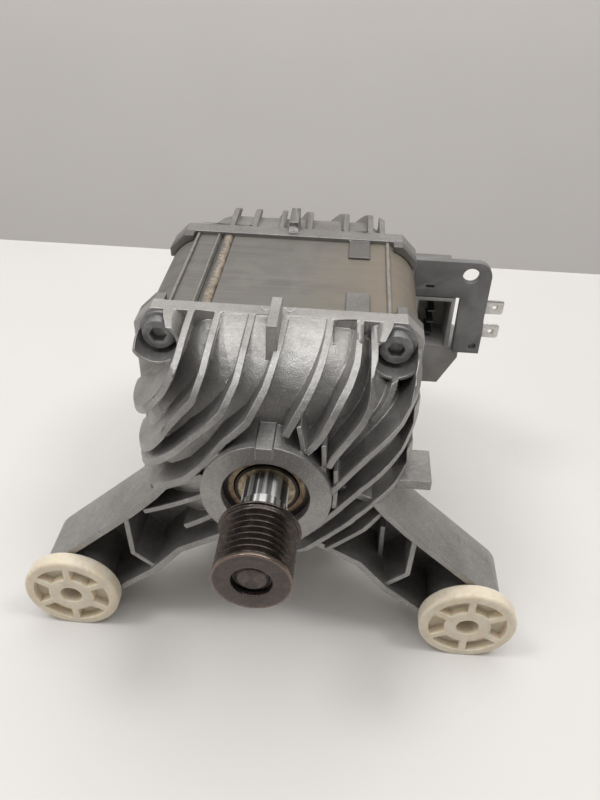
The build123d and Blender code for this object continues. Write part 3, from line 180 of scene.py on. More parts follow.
class FinishSettings(bpy.types.PropertyGroup):
    """Colours and grain of the motor's finishes."""

    cast_colour: FloatVectorProperty(
        name="Casting", description="Colour of the die castings", subtype="COLOR", size=4,
        min=0, max=1, default=(0.46, 0.45, 0.435, 1))
    cast_shade: FloatVectorProperty(
        name="Casting shade", description="Colour of the duller patches of the castings", subtype="COLOR", size=4,
        min=0, max=1, default=(0.30, 0.29, 0.28, 1))
    cast_grain: FloatProperty(
        name="Casting grain", description="Size of the sand-like grain", unit="LENGTH", default=0.45 * MM)
    stack_colour: FloatVectorProperty(
        name="Stack", description="Colour of the sheet edges", subtype="COLOR", size=4,
        min=0, max=1, default=(0.198, 0.187, 0.175, 1))
    rust_colour: FloatVectorProperty(
        name="Rust bloom", description="Colour of the light rust on the stack", subtype="COLOR", size=4,
        min=0, max=1, default=(0.262, 0.213, 0.158, 1))
    nylon_colour: FloatVectorProperty(
        name="Nylon", description="Colour of the bushings", subtype="COLOR", size=4,
        min=0, max=1, default=(0.70, 0.615, 0.475, 1))
    plastic_colour: FloatVectorProperty(
        name="Bracket plastic", description="Colour of the connector's plastic", subtype="COLOR", size=4,
        min=0, max=1, default=(0.155, 0.153, 0.152, 1))


class ShapeSettings(bpy.types.PropertyGroup):
    """Sizes of the dressed pieces."""

    cast_round: FloatProperty(
        name="Casting edges", description="Rounding of the castings' edges and roots", unit="LENGTH",
        default=0.34 * MM)
    edge_round: FloatProperty(
        name="Edge rounding", description="Bevel on the moulded pieces' edges", unit="LENGTH", default=0.35 * MM)
    groove_count: IntProperty(name="Grooves", description="Grooves of the pulley", default=7, min=1)
    groove_pitch: FloatProperty(
        name="Groove pitch", description="Distance from groove to groove", unit="LENGTH", default=2.34 * MM)


class StageSettings(bpy.types.PropertyGroup):
    """Floor, backdrop and lights."""

    floor_colour: FloatVectorProperty(
        name="Floor", description="Colour of the table top", subtype="COLOR", size=4,
        min=0, max=1, default=(0.71, 0.690, 0.668, 1))
    wall_colour: FloatVectorProperty(
        name="Wall", description="Colour of the wall behind the table", subtype="COLOR", size=4,
        min=0, max=1, default=(0.60, 0.570, 0.548, 1))
    wall_glow: FloatProperty(
        name="Wall glow", description="Light of its own that the wall gives", default=0.33)
    lamp_power: FloatProperty(
        name="Lamp", description="Power of the large overhead lamp", unit="POWER", default=17.3)
    room_light: FloatProperty(
        name="Room light", description="Strength of the light from all around", default=0.145)
    spot_power: FloatProperty(
        name="Ceiling lamps", description="Power of each of the two smaller lamps", unit="POWER", default=4.0)
    window_power: FloatProperty(
        name="Window", description="Power of the soft light from the left", unit="POWER", default=3.6)


def settings():
    """The three groups of settings."""
    scene = bpy.context.scene
    return scene.motor_finishes, scene.motor_shapes, scene.motor_stage


class Finish:
    """A material in the making, with one call for each kind of node it uses."""

    def __init__(self, name, colour, metallic, roughness):
        self.material = bpy.data.materials.new(name)
        self.material.use_nodes = True
        self.tree = self.material.node_tree
        self.surface = self.tree.nodes["Principled BSDF"]
        self.place = self.add("ShaderNodeTexCoord").outputs["Object"]
        self.surface.inputs["Base Color"].default_value = colour
        self.surface.inputs["Metallic"].default_value = metallic
        self.surface.inputs["Roughness"].default_value = roughness

    def add(self, kind, **values):
        """A new node with some of its values set."""
        node = self.tree.nodes.new(kind)
        for key, value in values.items():
            setattr(node, key, value)
        return node

    def link(self, source, target):
        """Feed one socket into another."""
        self.tree.links.new(source, target)

    def stretched(self, x, y, z):
        """Object coordinates with each axis scaled."""
        mapping = self.add("ShaderNodeMapping")
        self.link(self.place, mapping.inputs["Vector"])
        mapping.inputs["Scale"].default_value = (x, y, z)
        return mapping.outputs["Vector"]

    def noise(self, size, detail=3.0, roughness=0.55, vector=None, distortion=0.0):
        """Cloudy noise whose features are about size metres across."""
        node = self.add("ShaderNodeTexNoise")
        node.inputs["Scale"].default_value = 1 / size
        node.inputs["Detail"].default_value = detail
        node.inputs["Roughness"].default_value = roughness
        node.inputs["Distortion"].default_value = distortion
        self.link(vector or self.place, node.inputs["Vector"])
        return node.outputs["Fac"]

    def ranged(self, value, low, high, to_low=0.0, to_high=1.0):
        """A value moved from one range to another and clamped."""
        node = self.add("ShaderNodeMapRange")
        self.link(value, node.inputs["Value"])
        for key, number in (("From Min", low), ("From Max", high), ("To Min", to_low), ("To Max", to_high)):
            node.inputs[key].default_value = number
        return node.outputs["Result"]

    def sum(self, operation, first, second):
        """A math node on two values, each a socket or a number."""
        node = self.add("ShaderNodeMath", operation=operation)
        for number, value in enumerate((first, second)):
            if isinstance(value, (int, float)):
                node.inputs[number].default_value = value
            else:
                self.link(value, node.inputs[number])
        return node.outputs["Value"]

    def axis(self, letter):
        """One object coordinate."""
        node = self.add("ShaderNodeSeparateXYZ")
        self.link(self.place, node.inputs["Vector"])
        return node.outputs[letter]

    def radius(self):
        """Distance from the shaft line."""
        x, z = self.axis("X"), self.axis("Z")
        return self.sum("SQRT", self.sum("ADD", self.sum("MULTIPLY", x, x), self.sum("MULTIPLY", z, z)), 0.0)

    def mixed(self, factor, first, second):
        """Two colours mixed, each a socket or four numbers."""
        node = self.add("ShaderNodeMix", data_type="RGBA")
        self.link(factor, node.inputs["Factor"])
        for key, value in ((MIX_FIRST, first), (MIX_SECOND, second)):
            if isinstance(value, bpy.types.NodeSocket):
                self.link(value, node.inputs[key])
            else:
                node.inputs[key].default_value = value
        return node.outputs[MIX_RESULT]

    def colour(self, socket):
        """Take the surface's colour from a socket."""
        self.link(socket, self.surface.inputs["Base Color"])

    def rough(self, socket):
        """Take the surface's roughness from a socket."""
        self.link(socket, self.surface.inputs["Roughness"])

    def turned_gloss(self, amount):
        """Gloss drawn out along the shaft, as turning marks do."""
        tangent = self.add("ShaderNodeTangent", direction_type="RADIAL", axis="Y")
        self.link(tangent.outputs["Tangent"], self.surface.inputs["Tangent"])
        self.surface.inputs["Anisotropic"].default_value = amount
        self.surface.inputs["Anisotropic Rotation"].default_value = 0.25

    def bumps(self, *layers):
        """Heights in metres, one on another: each layer is a value and its depth."""
        normal = None
        for height, depth in layers:
            node = self.add("ShaderNodeBump")
            node.inputs["Strength"].default_value = 1.0
            node.inputs["Distance"].default_value = depth
            self.link(height, node.inputs["Height"])
            if normal:
                self.link(normal, node.inputs["Normal"])
            normal = node.outputs["Normal"]
        self.link(normal, self.surface.inputs["Normal"])


def cast_finish(name, colour, shade, grain, roughness=0.48, sparkle=0.13 * MM):
    """Sand-textured die-cast aluminium with mottling and a fine sparkle, painted shade toward the hub and a painted
    highlight band at the flange.
    """
    made = Finish(name, colour, 0.86, roughness)
    stack_front, stack_rear = (corner.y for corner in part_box("stator_core"))
    cloud = made.noise(16 * MM, 4.0)
    mottle = made.noise(2.6 * MM, 5.0, 0.65)
    speck = made.noise(grain, 2.0, 0.7)
    dirt = made.ranged(made.noise(6 * MM, 6.0, 0.7), 0.60, 0.76)
    base = made.mixed(made.ranged(cloud, 0.35, 0.68), colour, shade)
    base = made.mixed(made.ranged(mottle, 0.38, 0.70, 0.0, 0.6), base, shade)
    bright = tuple(min(1.0, part * 1.7) for part in colour[:3]) + (1,)
    base = made.mixed(made.ranged(speck, 0.56, 0.78, 0.0, 0.7), base, bright)
    grime = tuple(part * 0.45 for part in shade[:3]) + (1,)
    base = made.mixed(made.sum("MULTIPLY", dirt, 0.5), base, grime)
    # Painted shade: the casting darkens toward the hub with the grime colour, lower down the dome.
    toward_hub = made.sum("ADD", made.axis("Y"), made.sum("MULTIPLY", cloud, 20 * MM))
    base = made.mixed(made.ranged(toward_hub, 66 * MM, 10 * MM, 0.0, 0.42), base, grime)
    # Painted highlight: a lighter band on the flange and the dome's root, just ahead of the stack.
    painted_flange_highlight = made.sum("MULTIPLY", made.ranged(toward_hub, 60 * MM, 74 * MM, 0.0, 0.18),
                         made.ranged(made.axis("Y"), stack_front, stack_front - 0.3 * MM))
    base = made.mixed(painted_flange_highlight, base, bright)
    on_stack = made.sum("MULTIPLY", made.ranged(made.axis("Y"), stack_front, stack_front + 0.2 * MM),
                        made.ranged(made.axis("Y"), stack_rear, stack_rear - 0.2 * MM, 0.0, 0.5))
    made.colour(made.mixed(on_stack, base, grime))
    made.rough(made.ranged(made.noise(1.1 * MM, 4.0, 0.6), 0.3, 0.75, roughness - 0.10, roughness + 0.12))
    made.bumps((mottle, 0.16 * MM), (speck, sparkle), (made.noise(9 * MM, 2.0), 0.35 * MM))
    return made.material


def steel_finish(name, colour, roughness, streak):
    """Ground metal with fine turning lines and faint stains."""
    made = Finish(name, colour, 1.0, roughness)
    lines = made.noise(1.0, 3.0, 0.6, made.stretched(*streak))
    stain = made.noise(3.5 * MM, 5.0, 0.6)
    dark = tuple(part * 0.62 for part in colour[:3]) + (1,)
    made.colour(made.mixed(made.ranged(stain, 0.50, 0.72, 0.0, 0.6), colour, dark))
    made.rough(made.ranged(lines, 0.3, 0.7, roughness * 0.75, roughness * 1.35))
    made.bumps((lines, 0.012 * MM))
    return made.material


def plastic_finish(name, colour, roughness=0.5):
    """Moulded plastic with a fine spark-eroded grain, flow marks and dust."""
    made = Finish(name, colour, 0.0, roughness)
    flow = made.noise(11 * MM, 3.0, 0.5, distortion=0.6)
    skin = made.noise(0.35 * MM, 2.0, 0.6)
    dust = made.ranged(made.noise(2.8 * MM, 6.0, 0.7), 0.56, 0.76)
    light = tuple(min(1.0, part * 1.35 + 0.012) for part in colour[:3]) + (1,)
    dusty = tuple(min(1.0, part * 0.8 + 0.10) for part in colour[:3]) + (1,)
    base = made.mixed(made.ranged(flow, 0.35, 0.7), colour, light)
    made.colour(made.mixed(made.sum("MULTIPLY", dust, 0.35), base, dusty))
    made.rough(made.ranged(flow, 0.3, 0.7, roughness - 0.07, roughness + 0.1))
    made.bumps((skin, 0.03 * MM), (flow, 0.05 * MM))
    return made.material


def nylon_finish(name, colour):
    """Milky nylon, a little see-through, with olive staining and a worn, soft sheen."""
    made = Finish(name, colour, 0.0, 0.42)
    pale = (0.78, 0.705, 0.575, 1)
    olive = (0.50, 0.45, 0.30, 1)
    cloud = made.noise(8 * MM, 4.0, 0.6)
    grime = made.noise(1.8 * MM, 6.0, 0.7)
    base = made.mixed(made.ranged(cloud, 0.35, 0.66), colour, pale)
    made.colour(made.mixed(made.ranged(grime, 0.50, 0.80, 0.0, 0.6), base, olive))
    made.rough(made.ranged(grime, 0.3, 0.7, 0.34, 0.55))
    made.surface.inputs["Subsurface Weight"].default_value = 0.6
    made.surface.inputs["Subsurface Radius"].default_value = (1.0, 0.75, 0.4)
    made.surface.inputs["Subsurface Scale"].default_value = 3.0 * MM
    made.bumps((cloud, 0.12 * MM), (made.noise(0.7 * MM, 3.0), 0.025 * MM))
    return made.material


def stack_finish(name, colour, rust):
    """Edges of stacked sheets: faint uneven lines across the shaft, with rust bloom and rubbed streaks."""
    made = Finish(name, colour, 0.45, 0.5)
    sheets = made.noise(1.0, 4.0, 0.75, made.stretched(12, 1700, 12))
    bands = made.noise(1.0, 3.0, 0.6, made.stretched(18, 260, 18))
    rubbed = made.noise(1.0, 5.0, 0.65, made.stretched(90, 35, 90))
    bloom = made.noise(22 * MM, 5.0, 0.6, distortion=0.4)
    olive = made.noise(17 * MM, 3.0, 0.5, distortion=0.8)
    pale = tuple(min(1.0, part * 1.4) for part in colour[:3]) + (1,)
    dark = tuple(part * 0.72 for part in colour[:3]) + (1,)
    green = (colour[0] * 0.93, colour[1] * 0.98, colour[2] * 0.90, 1)
    base = made.mixed(made.ranged(bands, 0.3, 0.7), dark, colour)
    base = made.mixed(made.ranged(olive, 0.45, 0.6), base, green)
    base = made.mixed(made.ranged(sheets, 0.42, 0.70, 0.0, 0.35), base, pale)
    base = made.mixed(made.ranged(rubbed, 0.54, 0.75, 0.0, 0.35), base, pale)
    side = made.ranged(made.sum("ADD", made.axis("X"), made.sum("MULTIPLY", bloom, 30 * MM)), 20 * MM, 50 * MM)
    made.colour(made.mixed(made.sum("MULTIPLY", side, 0.65), base, rust))
    made.rough(made.ranged(bloom, 0.35, 0.7, 0.42, 0.62))
    made.bumps((sheets, 0.05 * MM), (bands, 0.04 * MM))
    return made.material


def weld_finish(name):
    """Tan, rippled weld metal with dark oxide at its edges."""
    made = Finish(name, (0.42, 0.36, 0.28, 1), 0.45, 0.55)
    ripple = made.noise(1.0, 3.0, 0.6, made.stretched(420, 700, 420))
    patch = made.noise(3.0 * MM, 5.0, 0.7)
    base = made.mixed(made.ranged(patch, 0.36, 0.64), (0.21, 0.17, 0.13, 1), (0.42, 0.36, 0.285, 1))
    made.colour(made.mixed(made.ranged(ripple, 0.55, 0.8, 0.0, 0.35), base, (0.55, 0.50, 0.43, 1)))
    made.rough(made.ranged(patch, 0.3, 0.7, 0.42, 0.70))
    made.bumps((ripple, 0.08 * MM), (patch, 0.14 * MM))
    return made.material


def pulley_finish(name, crest, front):
    """Brown-black oxide, with a painted highlight on the groove crests and dull coppery on the front rim."""
    made = Finish(name, (0.035, 0.025, 0.020, 1), 0.9, 0.36)
    from_line = made.radius()
    wear = made.noise(1.6 * MM, 5.0, 0.65)
    wobble = made.sum("MULTIPLY", made.sum("SUBTRACT", wear, 0.5), 0.7 * MM)
    height = made.sum("ADD", from_line, wobble)
    crests = made.ranged(height, crest - 0.34 * MM, crest - 0.04 * MM)
    rim = made.ranged(made.sum("ADD", made.axis("Y"), wobble), front + 0.9 * MM, front + 0.3 * MM)
    rim = made.sum("MULTIPLY", rim, made.ranged(height, crest - 1.0 * MM, crest - 0.3 * MM))
    rust = made.ranged(made.noise(2.6 * MM, 6.0, 0.7), 0.45, 0.70)
    face = made.sum("MAXIMUM", made.ranged(made.axis("Y"), front + 0.6 * MM, front + 0.1 * MM),
                    made.ranged(from_line, 7.2 * MM, 6.6 * MM))
    base = made.mixed(rust, (0.055, 0.047, 0.042, 1), (0.115, 0.088, 0.075, 1))
    base = made.mixed(face, base, made.mixed(rust, (0.080, 0.069, 0.066, 1), (0.118, 0.089, 0.080, 1)))
    # Painted highlight: the groove crests are a little lighter.
    base = made.mixed(made.sum("MULTIPLY", crests, 0.08), base, (0.34, 0.31, 0.28, 1))
    made.colour(made.mixed(made.sum("MULTIPLY", rim, 0.45), base, (0.34, 0.25, 0.20, 1)))
    made.rough(made.ranged(wear, 0.3, 0.7, 0.20, 0.36))
    made.bumps((made.noise(0.6 * MM, 3.0, 0.6), 0.018 * MM), (wear, 0.06 * MM))
    return made.material


def shaft_finish(name, dark_end):
    """Ground steel, with light and dark reflection streaks painted at the neck, brown-black with oxide at its front
    end.
    """
    made = Finish(name, (0.62, 0.62, 0.61, 1), 1.0, 0.42)
    made.turned_gloss(0.9)
    lines = made.noise(1.0, 3.0, 0.6, made.stretched(220, 2600, 220))
    # Painted reflection: light and dark streaks along the shaft, set into its colour.
    around = made.noise(1.0, 2.0, 0.5, made.stretched(420, 8, 420))
    rust = made.ranged(made.noise(2.2 * MM, 6.0, 0.7), 0.45, 0.70)
    steel = made.mixed(made.ranged(around, 0.45, 0.57), (0.14, 0.135, 0.13, 1), (0.95, 0.94, 0.92, 1))
    oxide = made.mixed(rust, (0.125, 0.110, 0.105, 1), (0.20, 0.16, 0.14, 1))
    end = made.ranged(made.axis("Y"), dark_end + 0.5 * MM, dark_end - 0.5 * MM)
    made.colour(made.mixed(end, steel, oxide))
    made.rough(made.sum("ADD", made.ranged(lines, 0.3, 0.7, 0.36, 0.46), made.sum("MULTIPLY", end, 0.10)))
    made.bumps((lines, 0.008 * MM))
    return made.material


def race_finish(name, rim):
    """Yellow-stained steel ring, painted dark outside a radius as shade."""
    made = Finish(name, (0.50, 0.44, 0.31, 1), 0.85, 0.34)
    stain = made.noise(1.6 * MM, 5.0, 0.65)
    # Painted shade: near-black outside the rim radius.
    dark = made.ranged(made.radius(), rim - 0.15 * MM, rim + 0.15 * MM)
    base = made.mixed(made.ranged(stain, 0.38, 0.62), (0.44, 0.38, 0.26, 1), (0.20, 0.15, 0.09, 1))
    made.colour(made.mixed(dark, base, (0.035, 0.030, 0.026, 1)))
    made.rough(made.ranged(stain, 0.3, 0.7, 0.26, 0.46))
    made.bumps((stain, 0.03 * MM))
    return made.material


def seal_finish(name, rim):
    """Brown, stained shield of a bearing, painted dark outside a radius as a shadow."""
    made = Finish(name, (0.24, 0.165, 0.105, 1), 0.6, 0.38)
    stain = made.noise(2.0 * MM, 5.0, 0.7)
    yellow = made.ranged(made.noise(5 * MM, 3.0, 0.6), 0.50, 0.62, 0.0, 0.7)
    base = made.mixed(made.ranged(stain, 0.40, 0.66), (0.28, 0.195, 0.125, 1), (0.12, 0.078, 0.048, 1))
    base = made.mixed(yellow, base, (0.36, 0.30, 0.18, 1))
    # Painted shadow: near-black from the rim radius outward, with a ragged edge.
    edge = made.sum("ADD", made.radius(), made.sum("MULTIPLY", stain, 0.8 * MM))
    made.colour(made.mixed(made.ranged(edge, rim, rim + 0.7 * MM), base, (0.030, 0.025, 0.022, 1)))
    made.rough(made.ranged(stain, 0.3, 0.7, 0.30, 0.50))
    made.bumps((stain, 0.04 * MM))
    return made.material


def wire_finish(name, colour):
    """Varnished winding wire: fine parallel turns under a glossy coat."""
    made = Finish(name, colour, 0.75, 0.32)
    turns = made.noise(1.0, 2.0, 0.5, made.stretched(300, 1900, 1900))
    varnish = made.noise(5 * MM, 4.0)
    dark = tuple(part * 0.4 for part in colour[:3]) + (1,)
    base = made.mixed(made.ranged(turns, 0.38, 0.62), dark, colour)
    made.colour(made.mixed(made.ranged(varnish, 0.5, 0.75, 0.0, 0.5), base, (0.16, 0.06, 0.02, 1)))
    made.rough(made.ranged(varnish, 0.3, 0.7, 0.24, 0.42))
    made.bumps((turns, 0.16 * MM))
    return made.material


def sparse_finish(name, colour, metallic, roughness, size):
    """A plain material of one kind with fine variation in colour, gloss and height."""
    made = Finish(name, colour, metallic, roughness)
    patch = made.noise(size, 5.0, 0.65)
    fine = made.noise(size / 5, 3.0, 0.6)
    dark = tuple(part * 0.6 for part in colour[:3]) + (1,)
    made.colour(made.mixed(made.ranged(patch, 0.4, 0.72, 0.0, 0.8), colour, dark))
    made.rough(made.ranged(patch, 0.3, 0.7, roughness * 0.8, min(1.0, roughness * 1.25)))
    made.bumps((fine, 0.03 * MM))
    return made.material


def finish_of(name):
    """A finish by name, made when it is first asked for."""
    found = bpy.data.materials.get(name)
    if found:
        return found
    tone, _, _ = settings()
    makers = {
        "front_casting_aluminium": lambda: cast_finish(
            name, tone.cast_colour[:], tone.cast_shade[:], tone.cast_grain),
        "rear_casting_aluminium": lambda: cast_finish(
            name, (0.36, 0.35, 0.34, 1), (0.25, 0.24, 0.23, 1), tone.cast_grain),
        # Painted highlight: lighter copies of the casting finish for the rounded outward edges and the marks.
        "front_casting_highlight": lambda: cast_finish(
            name, (0.80, 0.79, 0.77, 1), (0.50, 0.49, 0.475, 1), tone.cast_grain, 0.34, 0.30 * MM),
        "rear_casting_highlight": lambda: cast_finish(
            name, (0.66, 0.65, 0.63, 1), (0.44, 0.43, 0.42, 1), tone.cast_grain, 0.36, 0.30 * MM),
        "sheet_edges": lambda: stack_finish(name, tone.stack_colour[:], tone.rust_colour[:]),
        "weld_metal": lambda: weld_finish(name),
        # Painted highlight: a lighter finish for the ridges, standing for highlight lines along the stack.
        "ridge_highlight": lambda: sparse_finish(name, (0.34, 0.325, 0.295, 1), 0.6, 0.45, 2.5 * MM),
        "pulley_steel_worn": lambda: pulley_finish(name, PULLEY_CREST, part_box("pulley")[0].y),
        "bushing_nylon": lambda: nylon_finish(name, tone.nylon_colour[:]),
        "bracket_plastic": lambda: plastic_finish(name, tone.plastic_colour[:]),
        "socket_plastic": lambda: plastic_finish(name, (0.07, 0.07, 0.07, 1), 0.45),
        "housing_plastic": lambda: plastic_finish(name, (0.25, 0.246, 0.238, 1), 0.55),
        "brown_moulding": lambda: plastic_finish(name, (0.11, 0.055, 0.03, 1), 0.5),
        "pale_insulation": lambda: plastic_finish(name, (0.62, 0.60, 0.52, 1), 0.55),
        "polished_shaft": lambda: shaft_finish(name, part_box("pulley")[0].y + OXIDE_REACH),
        "gold_race": lambda: race_finish(name, RACE_RIM),
        "ground_ring_steel": lambda: steel_finish(name, (0.58, 0.57, 0.55, 1), 0.18, (300, 1500, 300)),
        "bronze_seal": lambda: seal_finish(name, SEAL_RIM),
        "terminal_tin": lambda: steel_finish(name, (0.60, 0.59, 0.56, 1), 0.30, (500, 500, 120)),
        # Painted shade: the pins are dark because they sit in the shaded socket.
        "pin_in_painted_shade": lambda: sparse_finish(name, (0.13, 0.125, 0.12, 1), 0.7, 0.5, 0.8 * MM),
        "spring_wire": lambda: steel_finish(name, (0.50, 0.50, 0.50, 1), 0.30, (900, 900, 900)),
        "brass_tube": lambda: steel_finish(name, (0.66, 0.50, 0.24, 1), 0.28, (200, 900, 900)),
        "turned_copper": lambda: steel_finish(name, (0.70, 0.36, 0.21, 1), 0.25, (300, 2400, 300)),
        "black_screw": lambda: sparse_finish(name, (0.25, 0.247, 0.247, 1), 0.5, 0.38, 1.5 * MM),
        "winding_wire": lambda: wire_finish(name, (0.46, 0.19, 0.08, 1)),
        "pressed_carbon": lambda: sparse_finish(name, (0.03, 0.03, 0.03, 1), 0.2, 0.55, 0.8 * MM),
        "magnet_ferrite": lambda: sparse_finish(name, (0.05, 0.05, 0.052, 1), 0.3, 0.5, 1.0 * MM),
    }
    return makers[name]()


def paint(piece, finish):
    """Give a piece one finish all over."""
    piece.data.materials.clear()
    piece.data.materials.append(finish_of(finish))


def settle(piece):
    """Write what a piece's modifiers give into its own mesh."""
    graph = bpy.context.evaluated_depsgraph_get()
    mesh = bpy.data.meshes.new_from_object(piece.evaluated_get(graph))
    piece.modifiers.clear()
    piece.data = mesh


def smooth(piece, angle):
    """Smooth shading with sharp edges past an angle in degrees."""
    for face in piece.data.polygons:
        face.use_smooth = True
    piece.data.set_sharp_from_angle(angle=math.radians(angle))


def piece_from(shape, name, finish, body, angle=SMOOTH_ANGLE):
    """Turn a bmesh into a piece that rides on a body."""
    bmesh.ops.recalc_face_normals(shape, faces=shape.faces)
    mesh = bpy.data.meshes.new(name)
    shape.to_mesh(mesh)
    shape.free()
    piece = bpy.data.objects.new(name, mesh)
    bpy.context.scene.collection.objects.link(piece)
    smooth(piece, angle)
    paint(piece, finish)
    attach(piece, body)
    return piece


def merged(node):
    """A bmesh of a node's own mesh with its corners merged."""
    shape = bmesh.new()
    shape.from_mesh(nodes[node].data)
    bmesh.ops.remove_doubles(shape, verts=shape.verts, dist=MERGE_REACH)
    return shape


def near_edge(edge, spots, reach):
    """Whether any of the spots lies within reach of an edge."""
    start, end = (corner.co for corner in edge.verts)
    for spot in spots:
        _, share = intersect_point_line(spot, start, end)
        if (start.lerp(end, min(max(share, 0.0), 1.0)) - spot).length < reach:
            return True
    return False


def rounded_cast(node, width, spared, reach):
    """A node's shape with its edges rounded, but for those close to the spared spots."""
    shape = merged(node)
    bmesh.ops.dissolve_limit(shape, angle_limit=FLAT_ANGLE, verts=shape.verts, edges=shape.edges)
    bmesh.ops.triangulate(shape, faces=shape.faces)
    edges = [edge for edge in shape.edges
             if edge.calc_face_angle(0) > CAST_ANGLE and not near_edge(edge, spared, reach)]
    bmesh.ops.bevel(shape, geom=edges, offset=width, offset_type="OFFSET", segments=CAST_SEGMENTS, profile=0.5,
                    affect="EDGES", clamp_overlap=False, material=1, loop_slide=False)
    return shape


def cast_copy(node, name, finish, edge_finish, body, width):
    """A node's shape with rounded cast edges, the outward ones given a brighter finish as a painted highlight.

    A face that lands further than the width from the node's skin has folded over, so the edges near it are
    spared on the next try. If every try has such faces, no edge is rounded.
    """
    source = merged(node)
    skin = BVHTree.FromBMesh(source)
    source.free()
    spared = []
    for number in range(1, ROUNDING_TRIES + 1):
        shape = rounded_cast(node, width, spared, SPARED_REACH * number)
        faults = [face.calc_center_median() for face in shape.faces
                  if skin.find_nearest(face.calc_center_median())[3] > width]
        if not faults:
            break
        spared += faults
        shape.free()
    else:
        shape = merged(node)
    piece = piece_from(shape, name, finish, body, ROUND_SMOOTH_ANGLE)
    # Painted highlight: rounded faces on outward edges take the brighter edge finish; those on inward edges go back
    # to the plain one.
    piece.data.materials.append(finish_of(edge_finish))
    for face in piece.data.polygons:
        place, normal, _, _ = skin.find_nearest(face.center)
        if face.material_index and (face.center - place).dot(normal) > 0:
            face.material_index = 0
    even = piece.modifiers.new("even", "WEIGHTED_NORMAL")
    even.keep_sharp = True
    settle(piece)
    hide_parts(node)


def bevelled_copy(node, name, finish, body, width, segments=2):
    """A node's shape with its edges rounded."""
    shape = merged(node)
    bmesh.ops.dissolve_limit(shape, angle_limit=MOULDED_FLAT_ANGLE, verts=shape.verts, edges=shape.edges)
    piece = piece_from(shape, name, finish, body)
    rounding = piece.modifiers.new("rounding", "BEVEL")
    rounding.width = width
    rounding.segments = segments
    rounding.limit_method = "ANGLE"
    rounding.angle_limit = MOULDED_ANGLE
    rounding.use_clamp_overlap = True
    settle(piece)
    smooth(piece, ROUND_SMOOTH_ANGLE)
    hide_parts(node)


def turned_shape(profile):
    """Spin a closed outline of (radius, y) points about the shaft line."""
    shape = bmesh.new()
    corners = [shape.verts.new((radius, y, 0)) for radius, y in profile]
    edges = [shape.edges.new((corners[spot - 1], corners[spot])) for spot in range(len(corners))]
    bmesh.ops.spin(shape, geom=corners + edges, cent=(0, 0, 0), axis=SHAFT_LINE, angle=2 * math.pi,
                   steps=TURN_STEPS, use_merge=True, use_duplicate=False)
    bmesh.ops.remove_doubles(shape, verts=shape.verts, dist=TURNED_MERGE_REACH)
    return shape


def rounded_profile(points, size):
    """An outline with each corner replaced by a short curve."""
    made = []
    count = len(points)
    for spot in range(count):
        before, here, after = (Vector(points[(spot + step) % count]) for step in (-1, 0, 1))
        reach_in = min(size, (before - here).length * CORNER_SHARE)
        reach_out = min(size, (after - here).length * CORNER_SHARE)
        first = here + (before - here).normalized() * reach_in
        last = here + (after - here).normalized() * reach_out
        for step in range(CORNER_STEPS + 1):
            share = step / CORNER_STEPS
            made.append(tuple(first * (1 - share) ** 2 + here * 2 * share * (1 - share) + last * share ** 2))
    return made


def box_shape(low, high):
    """A box between two corners."""
    shape = bmesh.new()
    middle = (Vector(low) + Vector(high)) / 2
    size = Vector(high) - Vector(low)
    bmesh.ops.create_cube(shape, size=1, matrix=Matrix.Translation(middle) @ Matrix.Diagonal((*size, 1)))
    return shape


def strip_shape(x, width, floor, root, y_from, y_to, cuts_each_way):
    """A box that lies along the stack, its foot sunk by root, cut finely along and across."""
    shape = box_shape((x - width / 2, y_from, floor - root), (x + width / 2, y_to, floor))
    for axis, cuts in zip("yx", cuts_each_way):
        edges = [edge for edge in shape.edges
                 if abs(getattr((edge.verts[1].co - edge.verts[0].co).normalized(), axis)) > 0.99]
        bmesh.ops.subdivide_edges(shape, edges=edges, cuts=cuts, use_grid_fill=True)
    return shape


def ridge_shape(x, width, floor, rise, y_from, y_to, seed):
    """A low rounded ridge along the stack, a little uneven."""
    shape = strip_shape(x, width, floor, RIDGE_ROOT, y_from, y_to, RIDGE_CUTS)
    for corner in shape.verts:
        y = corner.co.y
        wave = noise.noise(Vector((y * 160, seed * 7.3, 0)))
        share = (corner.co.x - x) / (width / 2)
        swell = 1 + 0.12 * noise.noise(Vector((y * 420, seed * 3.1, 5)))
        corner.co.x = x + wave * RIDGE_SWAY + share * swell * width / 2
        if corner.co.z > floor - TOP_BAND:
            corner.co.z += rise * (1 + 0.25 * wave) * (1 - share ** 4)
    return shape


def weld_shape(x, width, floor, rise, y_from, y_to):
    """A rippled bead of weld with ragged sides."""
    shape = strip_shape(x, width, floor, WELD_ROOT, y_from, y_to, WELD_CUTS)
    for corner in shape.verts:
        y = corner.co.y
        share = (corner.co.x - x) / (width / 2)
        ragged = 1 + 0.30 * noise.noise(Vector((y * 230, 2.0 if share < 0 else 9.0, 1)))
        lift = rise * (1 + 0.16 * noise.noise(Vector((y * 140, 4, 4))) + 0.05 * math.sin(y / WELD_RIPPLE))
        bump = WELD_BUMP * noise.noise(Vector((y * 900, share * 2.5, 8)))
        corner.co.x = x + share * ragged * width / 2
        if corner.co.z > floor - TOP_BAND:
            corner.co.z += (lift + bump) * (1 - share ** 4)
    return shape


def mark_shape(left, right):
    """A low half-round wall bowed forward between two places."""
    shape = bmesh.new()
    middle, half = (left + right) / 2, (right - left) / 2
    wall = shape.faces.new([shape.verts.new((half + x * MM, 0, z * MM)) for x, z in MARK_OUTLINE])
    bmesh.ops.spin(shape, geom=[wall, *wall.edges, *wall.verts], cent=(0, 0, 0), axis=(0, 0, -1), angle=math.pi,
                   steps=MARK_STEPS)
    bmesh.ops.scale(shape, vec=(1, MARK_REACH / half, 1), verts=shape.verts)
    bmesh.ops.translate(shape, vec=(middle, MARK_Y, MARK_Z), verts=shape.verts)
    return shape


